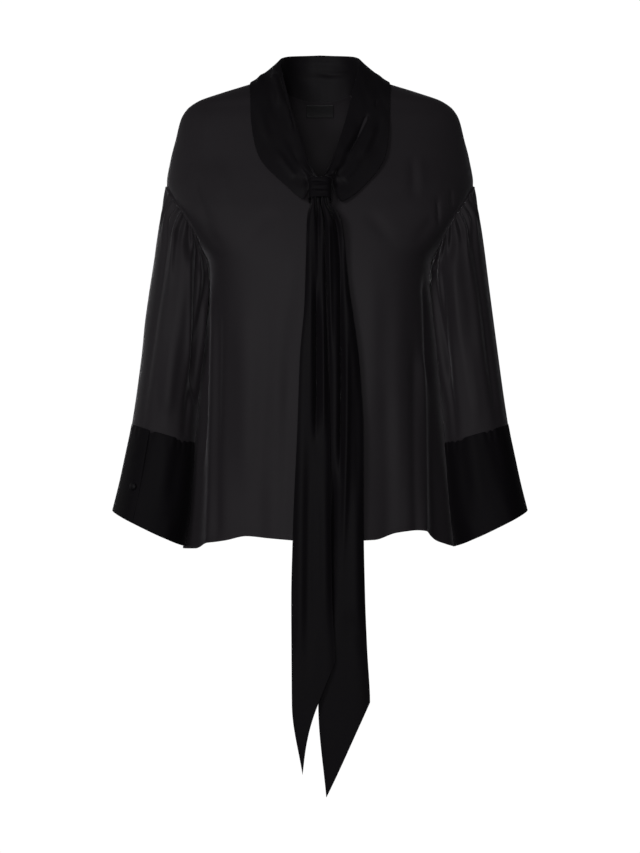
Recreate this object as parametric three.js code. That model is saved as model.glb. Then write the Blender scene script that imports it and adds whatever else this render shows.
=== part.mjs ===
// A woman's hip-length blouse in light crepe, filled out as if worn: dropped shoulders, full sleeves gathered into
// the armholes, deep flared cuffs, and a scarf collar whose two long tails pass through a keeper at the point of the V.
// Millimetres. +X is the wearer's left, -Y the front, +Z up. The origin lies midway between the two shoulder lines,
// at the height where they meet the neck.
import * as THREE from "three";

const CREPE = 1.2; // wall of a single layer of cloth
const DOUBLED = 1.8; // wall of doubled cloth: collar, cuffs, tie and keeper
const SEAM = 0.3; // gap between two pieces that are sewn together
const TURN = Math.PI * 2;
const QUARTER = 90; // degrees

const lerp = THREE.MathUtils.lerp;
const radians = THREE.MathUtils.degToRad;
const point = (x, y, z) => new THREE.Vector3(x, y, z);

// A soft step from 0 at a to 1 at b.
function ramp(value, a, b) {
  const t = THREE.MathUtils.clamp((value - a) / (b - a), 0, 1);
  return t * t * (3 - 2 * t);
}

// One column of a table as a smooth function of its key column, with no overshoot between rows.
function column(table, key, name) {
  const rows = [...table].sort((a, b) => a[key] - b[key]);
  const at = rows.map((row) => row[key]);
  const value = rows.map((row) => row[name]);
  const slope = at.slice(1).map((x, i) => (value[i + 1] - value[i]) / (x - at[i]));
  const tangent = at.map((_, i) => {
    const before = slope[Math.max(0, i - 1)];
    const after = slope[Math.min(slope.length - 1, i)];
    return before * after <= 0 ? 0 : (2 * before * after) / (before + after);
  });
  return (x) => {
    const last = at.length - 1;
    if (x <= at[0]) return value[0];
    if (x >= at[last]) return value[last];
    const i = at.findIndex((limit) => limit > x) - 1;
    const span = at[i + 1] - at[i];
    const t = (x - at[i]) / span;
    const [t2, t3] = [t * t, t * t * t];
    return (
      (2 * t3 - 3 * t2 + 1) * value[i] +
      (t3 - 2 * t2 + t) * span * tangent[i] +
      (3 * t2 - 2 * t3) * value[i + 1] +
      (t3 - t2) * span * tangent[i + 1]
    );
  };
}

// count + 1 points evenly spaced along a path of points.
function spaced(path, count) {
  const curve = new THREE.CurvePath();
  path.slice(1).forEach((end, i) => curve.add(new THREE.LineCurve3(path[i], end)));
  return Array.from({ length: count + 1 }, (_, i) => curve.getPointAt(i / count));
}

// A cloth surface: grids of points (rows of equal length) joined where their points meet.
function surface(...grids) {
  const points = [];
  const quads = [];
  const known = new Map();
  const shared = (p) => {
    const name = [p.x, p.y, p.z].map((value) => Math.round(value * 1e3)).join(",");
    if (!known.has(name)) {
      known.set(name, points.length);
      points.push(p);
    }
    return known.get(name);
  };
  for (const grid of grids)
    for (let j = 0; j + 1 < grid.length; j++)
      for (let i = 0; i + 1 < grid[j].length; i++)
        quads.push([grid[j][i], grid[j + 1][i], grid[j + 1][i + 1], grid[j][i + 1]].map(shared));
  return { points, quads, shared };
}

// The outward direction at each point of a surface.
function directions({ points, quads }) {
  const sums = points.map(() => point(0, 0, 0));
  for (const quad of quads) {
    const [a, b, c, d] = quad.map((i) => points[i]);
    const face = c.clone().sub(a).cross(d.clone().sub(b));
    quad.forEach((i) => sums[i].add(face));
  }
  return sums.map((sum) => sum.normalize());
}

// Gives a surface its thickness, half to each side, and closes every open edge with a rim. A larger surface that it
// is part of can lend its directions, so that two sewn pieces end face to face.
function wall(cloth, thickness, lender = cloth) {
  const lent = directions(lender);
  const outward = cloth.points.map((p) => lent[lender.shared(p)]);
  const count = cloth.points.length;
  const corners = [0.5, -0.5].flatMap((side) =>
    cloth.points.map((p, i) => p.clone().addScaledVector(outward[i], side * thickness)),
  );
  const triangles = [];
  const edges = new Map();
  for (const [a, b, c, d] of cloth.quads) {
    const outer = [[a, b, c], [a, c, d]].filter((t) => new Set(t).size === 3);
    for (const t of outer) {
      triangles.push(t, [t[2] + count, t[1] + count, t[0] + count]);
      t.forEach((from, i) => edges.set(from + "," + t[(i + 1) % 3], [from, t[(i + 1) % 3]]));
    }
  }
  for (const [from, to] of edges.values())
    if (!edges.has(to + "," + from))
      triangles.push([to, from, from + count], [to, from + count, to + count]);
  const geometry = new THREE.BufferGeometry();
  const flat = corners.flatMap((p) => [p.x, p.y, p.z]);
  geometry.setAttribute("position", new THREE.Float32BufferAttribute(flat, 3));
  geometry.setIndex(triangles.flat());
  return geometry;
}

const mirrored = (p) => point(-p.x, p.y, p.z);
const mirroredGrid = (grid) => grid.map((row) => row.map(mirrored).reverse());

// The cosine and sine of an angle, moved onto a rounded rectangle of the given power.
const roundedTurn = (angle, power) =>
  [Math.cos(angle), Math.sin(angle)].map((value) => Math.sign(value) * Math.abs(value) ** (2 / power));

// The body: level sections, from the shoulder line at the neck down to below the hem. half is the half width, front
// and back the depths at the centre, and the two shapes are the powers of the rounded sections.
const BODY = [
  { z: 10, half: 74, front: 0, back: 0, frontShape: 2.4, backShape: 1.6 },
  { z: 4, half: 95, front: 14, back: 26, frontShape: 2.4, backShape: 1.6 },
  { z: -1.5, half: 112.5, front: 21, back: 40, frontShape: 2.4, backShape: 1.6 },
  { z: -13.5, half: 150, front: 32, back: 58, frontShape: 2.4, backShape: 1.7 },
  { z: -25.5, half: 183, front: 41, back: 67, frontShape: 2.4, backShape: 1.8 },
  { z: -37.5, half: 199.5, front: 48, back: 74, frontShape: 2.3, backShape: 1.9 },
  { z: -52.5, half: 208.5, front: 57, back: 80, frontShape: 2.3, backShape: 2 },
  { z: -82.5, half: 216, front: 71, back: 91, frontShape: 2.3, backShape: 2.1 },
  { z: -112.5, half: 223.5, front: 84, back: 98, frontShape: 2.3, backShape: 2.3 },
  { z: -153, half: 229.5, front: 101, back: 104, frontShape: 2.5, backShape: 2.5 },
  { z: -177, half: 224, front: 110, back: 106, frontShape: 2.7, backShape: 2.7 },
  { z: -197, half: 215, front: 117, back: 107, frontShape: 2.9, backShape: 2.9 },
  { z: -220, half: 201, front: 124, back: 108, frontShape: 3, backShape: 3 },
  { z: -248, half: 180, front: 131, back: 109, frontShape: 3.2, backShape: 3 },
  { z: -270, half: 165, front: 135, back: 109, frontShape: 3.4, backShape: 3.1 },
  { z: -300, half: 163, front: 138, back: 110, frontShape: 3.4, backShape: 3 },
  { z: -340, half: 168, front: 140, back: 111, frontShape: 3.1, backShape: 2.8 },
  { z: -400, half: 175, front: 141, back: 112, frontShape: 2.9, backShape: 2.6 },
  { z: -472, half: 182, front: 143, back: 115, frontShape: 2.7, backShape: 2.5 },
  { z: -550, half: 189, front: 145, back: 120, frontShape: 2.5, backShape: 2.4 },
  { z: -620, half: 196, front: 148, back: 126, frontShape: 2.4, backShape: 2.4 },
  { z: -700, half: 204, front: 151, back: 134, frontShape: 2.4, backShape: 2.4 },
];
const halfWidth = column(BODY, "z", "half");
const TOP_Z = BODY[0].z;
const SIDES = {
  front: { forward: -1, depth: column(BODY, "z", "front"), shape: column(BODY, "z", "frontShape") },
  back: { forward: 1, depth: column(BODY, "z", "back"), shape: column(BODY, "z", "backShape") },
};

// The edges of the two panels as seen from the front, for the wearer's left half.
const NECK_SIDE_X = 74;
const UNDERARM_Z = -270;
const ARMHOLE_TOP_Z = -153;
const ARMHOLE = [
  { x: 229.5, z: ARMHOLE_TOP_Z },
  { x: 215, z: -177 },
  { x: 201, z: -198 },
  { x: 189, z: -218 },
  { x: 180, z: -236 },
  { x: 172, z: -254 },
  { x: 165, z: UNDERARM_Z },
];
const NECKLINE = {
  front: [
    { x: NECK_SIDE_X, z: TOP_Z },
    { x: 67, z: -20 },
    { x: 57, z: -52 },
    { x: 47, z: -82 },
    { x: 36, z: -112 },
    { x: 25, z: -140 },
    { x: 12, z: -162 },
    { x: 0, z: -172 },
  ],
  back: [
    { x: NECK_SIDE_X, z: TOP_Z },
    { x: 64, z: 2 },
    { x: 50, z: -7 },
    { x: 34, z: -12.5 },
    { x: 17, z: -16 },
    { x: 0, z: -17 },
  ],
};
// The height of the hem round the body. angle is 0 at the centre front, grows to the wearer's left, and is 180 at the
// centre back.
const HEM = [
  { angle: -180, z: -666 },
  { angle: -125, z: -670 },
  { angle: -90, z: -693 },
  { angle: -65, z: -691 },
  { angle: -53, z: -683 },
  { angle: -38, z: -676.5 },
  { angle: -28, z: -670 },
  { angle: -18, z: -672.5 },
  { angle: 0, z: -676.5 },
  { angle: 19, z: -675 },
  { angle: 30, z: -665 },
  { angle: 40, z: -662 },
  { angle: 48, z: -666 },
  { angle: 58, z: -680 },
  { angle: 70, z: -688 },
  { angle: 90, z: -691 },
  { angle: 125, z: -670 },
  { angle: 180, z: -666 },
];
const hemAt = column(HEM, "angle", "z");
// Folds that hang in the body. angle is positive to the wearer's left, depth positive where the fold stands out, and
// top is where it starts. It is deepest at the hem.
const BODY_FOLDS = [
  { angle: -66, width: 7, depth: -5, top: -320 },
  { angle: -52, width: 8, depth: 4, top: -400 },
  { angle: -36, width: 9, depth: -3, top: -430 },
  { angle: -78, width: 5, depth: 3, top: -430 },
  { angle: 60, width: 6, depth: -6, top: -340 },
  { angle: 50, width: 7, depth: 4, top: -380 },
  { angle: 71, width: 5, depth: 3, top: -480 },
  { angle: 80, width: 4, depth: -3, top: -520 },
  { angle: 34, width: 9, depth: -3, top: -420 },
  { angle: 112, width: 9, depth: 5, top: -330 },
  { angle: 130, width: 9, depth: -6, top: -300 },
  { angle: 149, width: 9, depth: 6, top: -280 },
  { angle: 168, width: 9, depth: -6, top: -300 },
  { angle: -173, width: 9, depth: 6, top: -270 },
  { angle: -154, width: 9, depth: -6, top: -320 },
  { angle: -135, width: 9, depth: 6, top: -300 },
  { angle: -113, width: 8, depth: -5, top: -350 },
];
const FOLD_FULL_Z = -640;

// The angle from one direction to another in degrees, the short way round.
const awayFrom = (from, to) => THREE.MathUtils.euclideanModulo(to - from + 180, 360) - 180;

// How far the folds move the cloth outwards at a point of the body.
function foldDepth(x, y, z) {
  const angle = THREE.MathUtils.radToDeg(Math.atan2(x, -y));
  return BODY_FOLDS.reduce((sum, fold) => {
    const across = Math.exp(-((awayFrom(fold.angle, angle) / fold.width) ** 2));
    return sum + fold.depth * across * ramp(z, fold.top, FOLD_FULL_Z);
  }, 0);
}

// How far outside the body's surface a point lies, roughly, and the direction straight out of it.
const RISE = 50; // above the shoulder line, the height that counts as one half width
const AXES = [point(1, 0, 0), point(0, 1, 0), point(0, 0, 1)];
const SLOPE_STEP = 0.05;

function outside(p) {
  const side = SIDES[p.y < 0 ? "front" : "back"];
  const level = ({ x, y, z }) => {
    const top = Math.min(z, TOP_Z - 0.5);
    const power = side.shape(top);
    const across = (Math.abs(x) / halfWidth(top)) ** power + (Math.abs(y) / side.depth(top)) ** power;
    return across ** (1 / power) - 1 + (z - top) / RISE;
  };
  const here = level(p);
  const uphill = point(...AXES.map((axis) => level(p.clone().addScaledVector(axis, SLOPE_STEP)) - here));
  uphill.divideScalar(SLOPE_STEP);
  return { distance: here / uphill.length(), uphill: uphill.normalize() };
}

// The point moved out of the body, if need be, until it clears the body's surface.
const MOVES = 6; // each move lands a little nearer

function clearOfBody(p, clearance) {
  const moved = p.clone();
  for (let k = 0; k < MOVES; k++) {
    const { distance, uphill } = outside(moved);
    const need = clearance + Math.max(0, foldDepth(moved.x, moved.y, moved.z));
    if (distance < need) moved.addScaledVector(uphill, need - distance);
  }
  return moved;
}

// The point of a panel that lies at x, z in the front view.
function onBody(side, x, z) {
  const { forward, depth, shape } = SIDES[side];
  const power = shape(z);
  const rest = Math.max(0, 1 - (Math.abs(x) / halfWidth(z)) ** power);
  return point(x, forward * depth(z) * rest ** (1 / power), z);
}

// The same point with the body's folds.
function folded(p) {
  const grown = 1 + foldDepth(p.x, p.y, p.z) / Math.hypot(p.x, p.y);
  return point(p.x * grown, p.y * grown, p.z);
}

const COLUMNS = 12; // columns of points in half a panel
const UPPER_ROWS = 9; // rows from the shoulder to the underarm
const LOWER_ROWS = 11; // rows from the underarm to the hem
const NECK_ROW = 6; // the upper row that ends at the point of the V
const ROW_CROWDING = 1.7; // draws the upper rows towards the rounded shoulder
const RIDGE_STEP = 3; // between the points that the shoulder line is drawn through

const rowShare = (j) => (j / UPPER_ROWS) ** ROW_CROWDING;
const fromTable = (table) => table.map(({ x, z }) => point(x, 0, z));

// Half a panel above the underarm, drawn between its four edges in the front view: the shoulder, the armhole, the
// underarm line, and the neckline with the centre below it.
function upperHalf(side) {
  const ridge = [];
  for (let z = ARMHOLE_TOP_Z; z < TOP_Z; z += RIDGE_STEP) ridge.push(point(halfWidth(z), 0, z));
  ridge.push(point(NECK_SIDE_X, 0, TOP_Z));
  const shoulder = spaced(ridge, COLUMNS);
  const armhole = new THREE.CatmullRomCurve3(fromTable(ARMHOLE));
  const neckline = new THREE.CatmullRomCurve3(fromTable(NECKLINE[side]));
  const neckPoint = NECKLINE[side].at(-1);
  const underarm = Array.from({ length: COLUMNS + 1 }, (_, i) =>
    point(lowerX(side, UNDERARM_Z, i), 0, UNDERARM_Z),
  );
  const inner = (j) => {
    if (j <= NECK_ROW) return neckline.getPointAt(rowShare(j) / rowShare(NECK_ROW));
    const share = (rowShare(j) - rowShare(NECK_ROW)) / (1 - rowShare(NECK_ROW));
    return point(0, 0, lerp(neckPoint.z, UNDERARM_Z, share));
  };
  return Array.from({ length: UPPER_ROWS + 1 }, (_, j) => {
    const v = rowShare(j);
    const [start, end] = [armhole.getPointAt(v), inner(j)];
    return Array.from({ length: COLUMNS + 1 }, (_, i) => {
      const u = i / COLUMNS;
      const drawn = (name) =>
        (1 - v) * shoulder[i][name] +
        v * underarm[i][name] +
        (1 - u) * start[name] +
        u * end[name] -
        (1 - u) * ((1 - v) * shoulder[0][name] + v * underarm[0][name]) -
        u * ((1 - v) * shoulder[COLUMNS][name] + v * underarm[COLUMNS][name]);
      const flat = { x: drawn("x"), z: drawn("z") };
      return j === 0 ? shoulder[i] : onBody(side, flat.x, flat.z);
    });
  });
}

// Where column i of a panel lies at a level below the underarm, spaced evenly round the section.
function lowerX(side, z, i) {
  const angle = (1 - i / COLUMNS) * (Math.PI / 2);
  return i === COLUMNS ? 0 : halfWidth(z) * Math.sin(angle) ** (2 / SIDES[side].shape(z));
}

function lowerHalf(side, hand) {
  return Array.from({ length: LOWER_ROWS + 1 }, (_, j) =>
    Array.from({ length: COLUMNS + 1 }, (_, i) => {
      const turned = (1 - i / COLUMNS) * QUARTER;
      const bottom = hemAt(hand * (side === "front" ? turned : 2 * QUARTER - turned));
      const z = lerp(UNDERARM_Z, bottom, j / LOWER_ROWS);
      return onBody(side, lowerX(side, z, i), z);
    }),
  );
}

// A whole panel, as grids for its left and right halves that meet at the centre. The front's rows run the other way
// round, so that both panels face outwards.
function panel(side) {
  const left = [...upperHalf(side), ...lowerHalf(side, 1).slice(1)];
  const right = mirroredGrid([...upperHalf(side), ...lowerHalf(side, -1).slice(1)]);
  const facing = (grid) => (side === "back" ? grid : grid.map((row) => [...row].reverse()));
  return [left, right].map((grid) => facing(grid.map((row) => row.map(folded))));
}

const PANELS = { front: panel("front"), back: panel("back") };
const body = surface(...PANELS.front, ...PANELS.back);

function bodyPanel(side) {
  const apart = (SIDES[side].forward * SEAM) / 2;
  return wall(surface(...PANELS[side]), CREPE, body).translate(0, apart, 0);
}

// The sleeves, drawn for the wearer's left: sections that run from their outer to their inner point as seen from the
// front. depth is the half depth, front to back, and y how far forward the middle hangs. The first section follows
// the armhole and its gathers.
const SLEEVE = [
  { outerX: 236, outerZ: -190, innerX: 158, innerZ: -292, depth: 70, y: -4 },
  { outerX: 243, outerZ: -234, innerX: 153, innerZ: -318, depth: 77, y: -9 },
  { outerX: 252, outerZ: -310, innerX: 159, innerZ: -366, depth: 79, y: -17 },
  { outerX: 262, outerZ: -390, innerX: 168, innerZ: -428, depth: 77, y: -24 },
  { outerX: 271, outerZ: -460, innerX: 178, innerZ: -488, depth: 71, y: -30 },
  { outerX: 278, outerZ: -508, innerX: 182, innerZ: -536, depth: 64, y: -34 },
];
const CUFF = [
  { outerX: 278, outerZ: -508, innerX: 182, innerZ: -536, depth: 64, y: -34 },
  { outerX: 287, outerZ: -551, innerX: 185, innerZ: -586, depth: 67, y: -37 },
  { outerX: 296, outerZ: -594, innerX: 189, innerZ: -639, depth: 70, y: -40 },
  { outerX: 306, outerZ: -635, innerX: 197, innerZ: -688, depth: 73, y: -43 },
];
const ROUND = 2.3; // the power of the rounded section of sleeves and cuffs
const RESTING = 3.5; // how far the middle of a sleeve's cloth stays off the body where it rests on it
const SEWN = { clearance: 2.1, rows: 4 }; // at the armhole it stays closer, over the first rows
const SLEEVE_SIDES = 52;
const SLEEVE_ROWS = 12;
const SLEEVE_CROWDING = 1.25; // draws the rows towards the armhole
const ARMHOLE_MIDDLE = point(195, 0, -214);
// The gathers round the sleeve's head. uneven is how far, in radians, they crowd together, they fade out by the share
// ends of the sleeve's length, and none lie within the flat number of degrees of the underarm.
const GATHERS = { count: 14, height: 2.6, uneven: 0.8, ends: 0.3, flat: 10, full: 50 };
const FOLD_ENDS = 0.25; // the share of the sleeve's length over which a long fold begins and ends
const FOLD_FADE = 0.75; // how much of it is gone at the cuff
// Long folds down the sleeve. angle runs from the outer edge (0) over the front (90) to the underarm (180).
const SLEEVE_FOLDS = [
  { angle: 55, width: 9, depth: -5, top: 0.08, bottom: 0.8 },
  { angle: 92, width: 9, depth: 4, top: 0.1, bottom: 1 },
  { angle: 128, width: 8, depth: -8, top: 0.05, bottom: 0.85 },
  { angle: 210, width: 9, depth: 3, top: 0.2, bottom: 1 },
  { angle: 246, width: 9, depth: -5, top: 0.1, bottom: 0.9 },
  { angle: 285, width: 10, depth: 4, top: 0.1, bottom: 0.9 },
  { angle: 320, width: 9, depth: -4, top: 0.1, bottom: 0.8 },
];

const sectionMiddle = ({ outerX, outerZ, innerX, innerZ, y }) =>
  point((outerX + innerX) / 2, y, (outerZ + innerZ) / 2);

// The point at an angle round one section of a sleeve or cuff, moved outwards by a distance.
function aroundSection(section, angle, out = 0) {
  const { outerX, outerZ, innerX, innerZ, depth } = section;
  const across = point((outerX - innerX) / 2, 0, (outerZ - innerZ) / 2);
  const [c, s] = roundedTurn(angle, ROUND);
  const wider = c * (1 + out / across.length());
  return sectionMiddle(section).addScaledVector(across, wider).add(point(0, -s * (depth + out), 0));
}

const angles = (count) => Array.from({ length: count }, (_, k) => (k / count) * TURN);

// The sleeve's top edge stands off the panels' by a little more than a seam, because their walls meet at an angle.
// That angle is sharper from the share sharpFrom of the way down.
const ARMHOLE_GAP = { out: 1.4, sharpFrom: 0.4, sharpTo: 0.8 };

// The edge that the sleeve is sewn to: down the front of the armhole from its top to the underarm, and up the back.
function armholeRing(count) {
  const flat = new THREE.CatmullRomCurve3(fromTable(ARMHOLE));
  return angles(count).map((angle) => {
    const share = angle <= Math.PI ? angle / Math.PI : (TURN - angle) / Math.PI;
    const { x, z } = flat.getPointAt(share);
    const aside = ARMHOLE_GAP.out + CREPE * ramp(share, ARMHOLE_GAP.sharpFrom, ARMHOLE_GAP.sharpTo);
    return onBody(angle <= Math.PI ? "front" : "back", x, z).add(point(aside, 0, -SEAM));
  });
}

// How far a gather or a fold moves the sleeve outwards. share runs from 0 at the armhole to 1 at the cuff.
function sleeveRelief(angle, share) {
  const degrees = THREE.MathUtils.radToDeg(angle);
  const { count, height, uneven, ends, flat, full } = GATHERS;
  const strength = ramp(Math.abs(degrees - 180), flat, full) * (1 - ramp(share, 0, ends));
  const gathers = height * strength * Math.sin(count * angle + uneven * Math.sin(3 * angle));
  return SLEEVE_FOLDS.reduce((sum, fold) => {
    const along = ramp(share, 0, fold.top + FOLD_ENDS) * (1 - FOLD_FADE * ramp(share, fold.bottom - FOLD_ENDS, 1));
    return sum + fold.depth * Math.exp(-((awayFrom(fold.angle, degrees) / fold.width) ** 2)) * along;
  }, gathers);
}

// Closes each row of a grid on its first point.
const closed = (rows) => rows.map((row) => [...row, row[0]]);

function sleeve() {
  const ring = armholeRing(SLEEVE_SIDES);
  const middle = new THREE.CatmullRomCurve3([ARMHOLE_MIDDLE, ...SLEEVE.map(sectionMiddle)]);
  const columns = angles(SLEEVE_SIDES).map((angle, k) => {
    const path = new THREE.CatmullRomCurve3([ring[k], ...SLEEVE.map((section) => aroundSection(section, angle))]);
    return Array.from({ length: SLEEVE_ROWS + 1 }, (_, j) => {
      const share = (j / SLEEVE_ROWS) ** SLEEVE_CROWDING;
      const p = path.getPoint(share);
      const out = p.clone().sub(middle.getPoint(share)).normalize();
      const relieved = p.addScaledVector(out, sleeveRelief(angle, share));
      const clearance = lerp(SEWN.clearance, RESTING, Math.min(1, j / SEWN.rows));
      return j === 0 ? relieved : clearOfBody(relieved, clearance);
    });
  });
  const rows = Array.from({ length: SLEEVE_ROWS + 1 }, (_, j) => columns.map((line) => line[j]));
  return closed(rows);
}

// The cuff is a band whose ends lap by twice LAP.half, in degrees, at the button. The upper end rises onto the lower
// one between the angles from and to before it. opening is the button's angle.
const CUFF_SIDES = 36;
const CUFF_ROWS = 4;
const LAP = { half: 10, from: 50, to: 8 };
const CUFF_GAP = 0.6; // below the sleeve's edge

function cuffSection(share) {
  const section = {};
  for (const name of Object.keys(CUFF[0])) {
    const rows = CUFF.map((row, k) => ({ share: k / (CUFF.length - 1), value: row[name] }));
    section[name] = column(rows, "share", "value")(share);
  }
  return section;
}

function cuff(opening) {
  const lap = radians(LAP.half);
  return Array.from({ length: CUFF_ROWS + 1 }, (_, j) => {
    const section = cuffSection(j / CUFF_ROWS);
    return Array.from({ length: CUFF_SIDES + 1 }, (_, k) => {
      const turned = (k / CUFF_SIDES) * (TURN + 2 * lap);
      const over = (DOUBLED + SEAM) * ramp(turned, TURN - radians(LAP.from), TURN - radians(LAP.to));
      const p = clearOfBody(aroundSection(section, opening - lap + turned, over), RESTING + over);
      return p.add(point(0, 0, -CUFF_GAP));
    });
  });
}

const BUTTON = { radius: 5.5, foot: 4.7, height: 4.2, rim: 1.2, steps: 5, sides: 16, share: 0.63 };

// A cloth-covered button, domed above its rim.
function button() {
  const { radius, foot, height, rim, steps, sides } = BUTTON;
  const dome = Array.from({ length: steps + 1 }, (_, k) => (k / steps) * radians(QUARTER)).map(
    (angle, k) => new THREE.Vector2(k === steps ? 0 : radius * Math.cos(angle), lerp(rim, height, Math.sin(angle))),
  );
  return new THREE.LatheGeometry([new THREE.Vector2(0, 0), new THREE.Vector2(foot, 0), ...dome], sides);
}

// Where a button sits: its place on the lapped cuff, and the direction it faces.
const SEAT_STEP = 0.05; // to the neighbouring points that give the direction

function buttonSeat(opening) {
  const [section, below] = [cuffSection(BUTTON.share), cuffSection(BUTTON.share + SEAT_STEP)];
  const along = aroundSection(section, opening + SEAT_STEP).sub(aroundSection(section, opening - SEAT_STEP));
  const down = aroundSection(below, opening).sub(aroundSection(section, opening));
  const facing = along.cross(down).normalize();
  const place = aroundSection(section, opening, DOUBLED + SEAM).addScaledVector(facing, DOUBLED / 2 + SEAM);
  return { place, facing };
}

// The collar: three guide lines from the centre back to the keeper. It is sewn on along the neckline, stands up to
// the roll, and falls outside to its loose edge.
const ROLL = [
  { x: 0, y: 64, z: 55, bulge: 6 },
  { x: 30, y: 56, z: 53, bulge: 6 },
  { x: 51, y: 36, z: 48, bulge: 4 },
  { x: 60, y: 12, z: 38, bulge: 0 },
  { x: 56, y: -12, z: 14, bulge: 1 },
  { x: 48, y: -38, z: -20, bulge: 4 },
  { x: 40, y: -61, z: -56, bulge: 6 },
  { x: 31, y: -84, z: -92, bulge: 6 },
  { x: 21, y: -103, z: -122, bulge: 5 },
  { x: 12, y: -115, z: -146, bulge: 4 },
];
const EDGE = [
  { x: 0, y: 77, z: -26 },
  { x: 40, y: 66, z: -24 },
  { x: 76, y: 44, z: -14 },
  { x: 103, y: 7, z: 7 },
  { x: 104, y: -38, z: -30 },
  { x: 101, y: -66, z: -68 },
  { x: 84, y: -90, z: -112 },
  { x: 56, y: -108, z: -148 },
  { x: 34, y: -119, z: -168 },
  { x: 21, y: -123, z: -166 },
];
const COLLAR_HALF = 22; // steps from the centre back to the keeper
const COLLAR_ACROSS = 10;
const STAND_SHARE = 0.4; // the part of the width that stands up inside
const GATHER_FROM = 0.62; // where the collar starts to be drawn in
const COLLAR_CLEAR = 3.8; // how far the middle of the collar's cloth stays off the body
const BUNCH = { left: 1.6, right: 11.8, front: -125, back: -112.5, top: -151, bottom: -160, folds: 5 };
const COLLAR_CROWDING = 1.5; // draws the collar's rows towards the keeper
// The neck seam keeps the collar's edge beside the panels' edge, towards the neck opening. It passes from the back
// panel to the front one at the share side, and stops at the share last of the front's neckline.
const NECK_SEAM = { gap: 1.5, side: 0.33, last: 0.9 };

function collarSection(share) {
  const along = (rows) => new THREE.CatmullRomCurve3(rows.map(({ x, y, z }) => point(x, y, z))).getPoint(share);
  const seam = neckSeam(share);
  const [roll, edge] = [along(ROLL), along(EDGE)];
  const bulges = ROLL.map((row, k) => ({ share: k / (ROLL.length - 1), bulge: row.bulge }));
  const bulge = column(bulges, "share", "bulge")(share);
  const drawnIn = ramp(share, GATHER_FROM, 1);
  return Array.from({ length: COLLAR_ACROSS + 1 }, (_, k) => {
    const v = k / COLLAR_ACROSS;
    const rolled = v <= STAND_SHARE ? stand(seam, roll, v / STAND_SHARE) : fall(roll, edge, seam, v, bulge);
    const p = rolled.lerp(bunched(v, BUNCH.top), drawnIn);
    return v > STAND_SHARE ? clearOfBody(p, COLLAR_CLEAR) : p;
  });
}

// The neck seam at a share of the way from the centre back to the keeper.
function neckSeam(share) {
  const side = share <= NECK_SEAM.side ? "back" : "front";
  const flat = new THREE.CatmullRomCurve3(fromTable(NECKLINE[side]));
  const down = side === "back" ? 1 - share / NECK_SEAM.side : (share - NECK_SEAM.side) / (1 - NECK_SEAM.side);
  const along = Math.min(down, NECK_SEAM.last);
  const { x, z } = flat.getPointAt(along);
  const inwards = flat.getTangentAt(along).applyAxisAngle(AXES[1], radians(QUARTER));
  if (inwards.x > 0) inwards.negate();
  return onBody(side, x, z).addScaledVector(inwards, NECK_SEAM.gap);
}

const stand = (seam, roll, t) => seam.clone().lerp(roll, t);

function fall(roll, edge, seam, v, bulge) {
  const t = (v - STAND_SHARE) / (1 - STAND_SHARE);
  const out = edge.clone().sub(seam).normalize();
  return roll.clone().lerp(edge, t).addScaledVector(out, bulge * Math.sin(Math.PI * Math.sqrt(t)));
}

// The collar's end, folded to and fro to pass through the keeper.
function bunched(v, z) {
  const { left, right, front, back, folds } = BUNCH;
  const swing = 0.5 - 0.5 * Math.cos(v * folds * Math.PI);
  return point(lerp(left, right, v), lerp(back, front, swing), z);
}

function collar() {
  const left = Array.from({ length: COLLAR_HALF + 1 }, (_, k) =>
    collarSection(1 - (1 - k / COLLAR_HALF) ** COLLAR_CROWDING),
  );
  left.push(left.at(-1).map((_, k) => bunched(k / COLLAR_ACROSS, BUNCH.bottom)));
  const right = left.slice(1).map((row) => row.map(mirrored)).reverse();
  return [...right, ...left];
}

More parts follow.
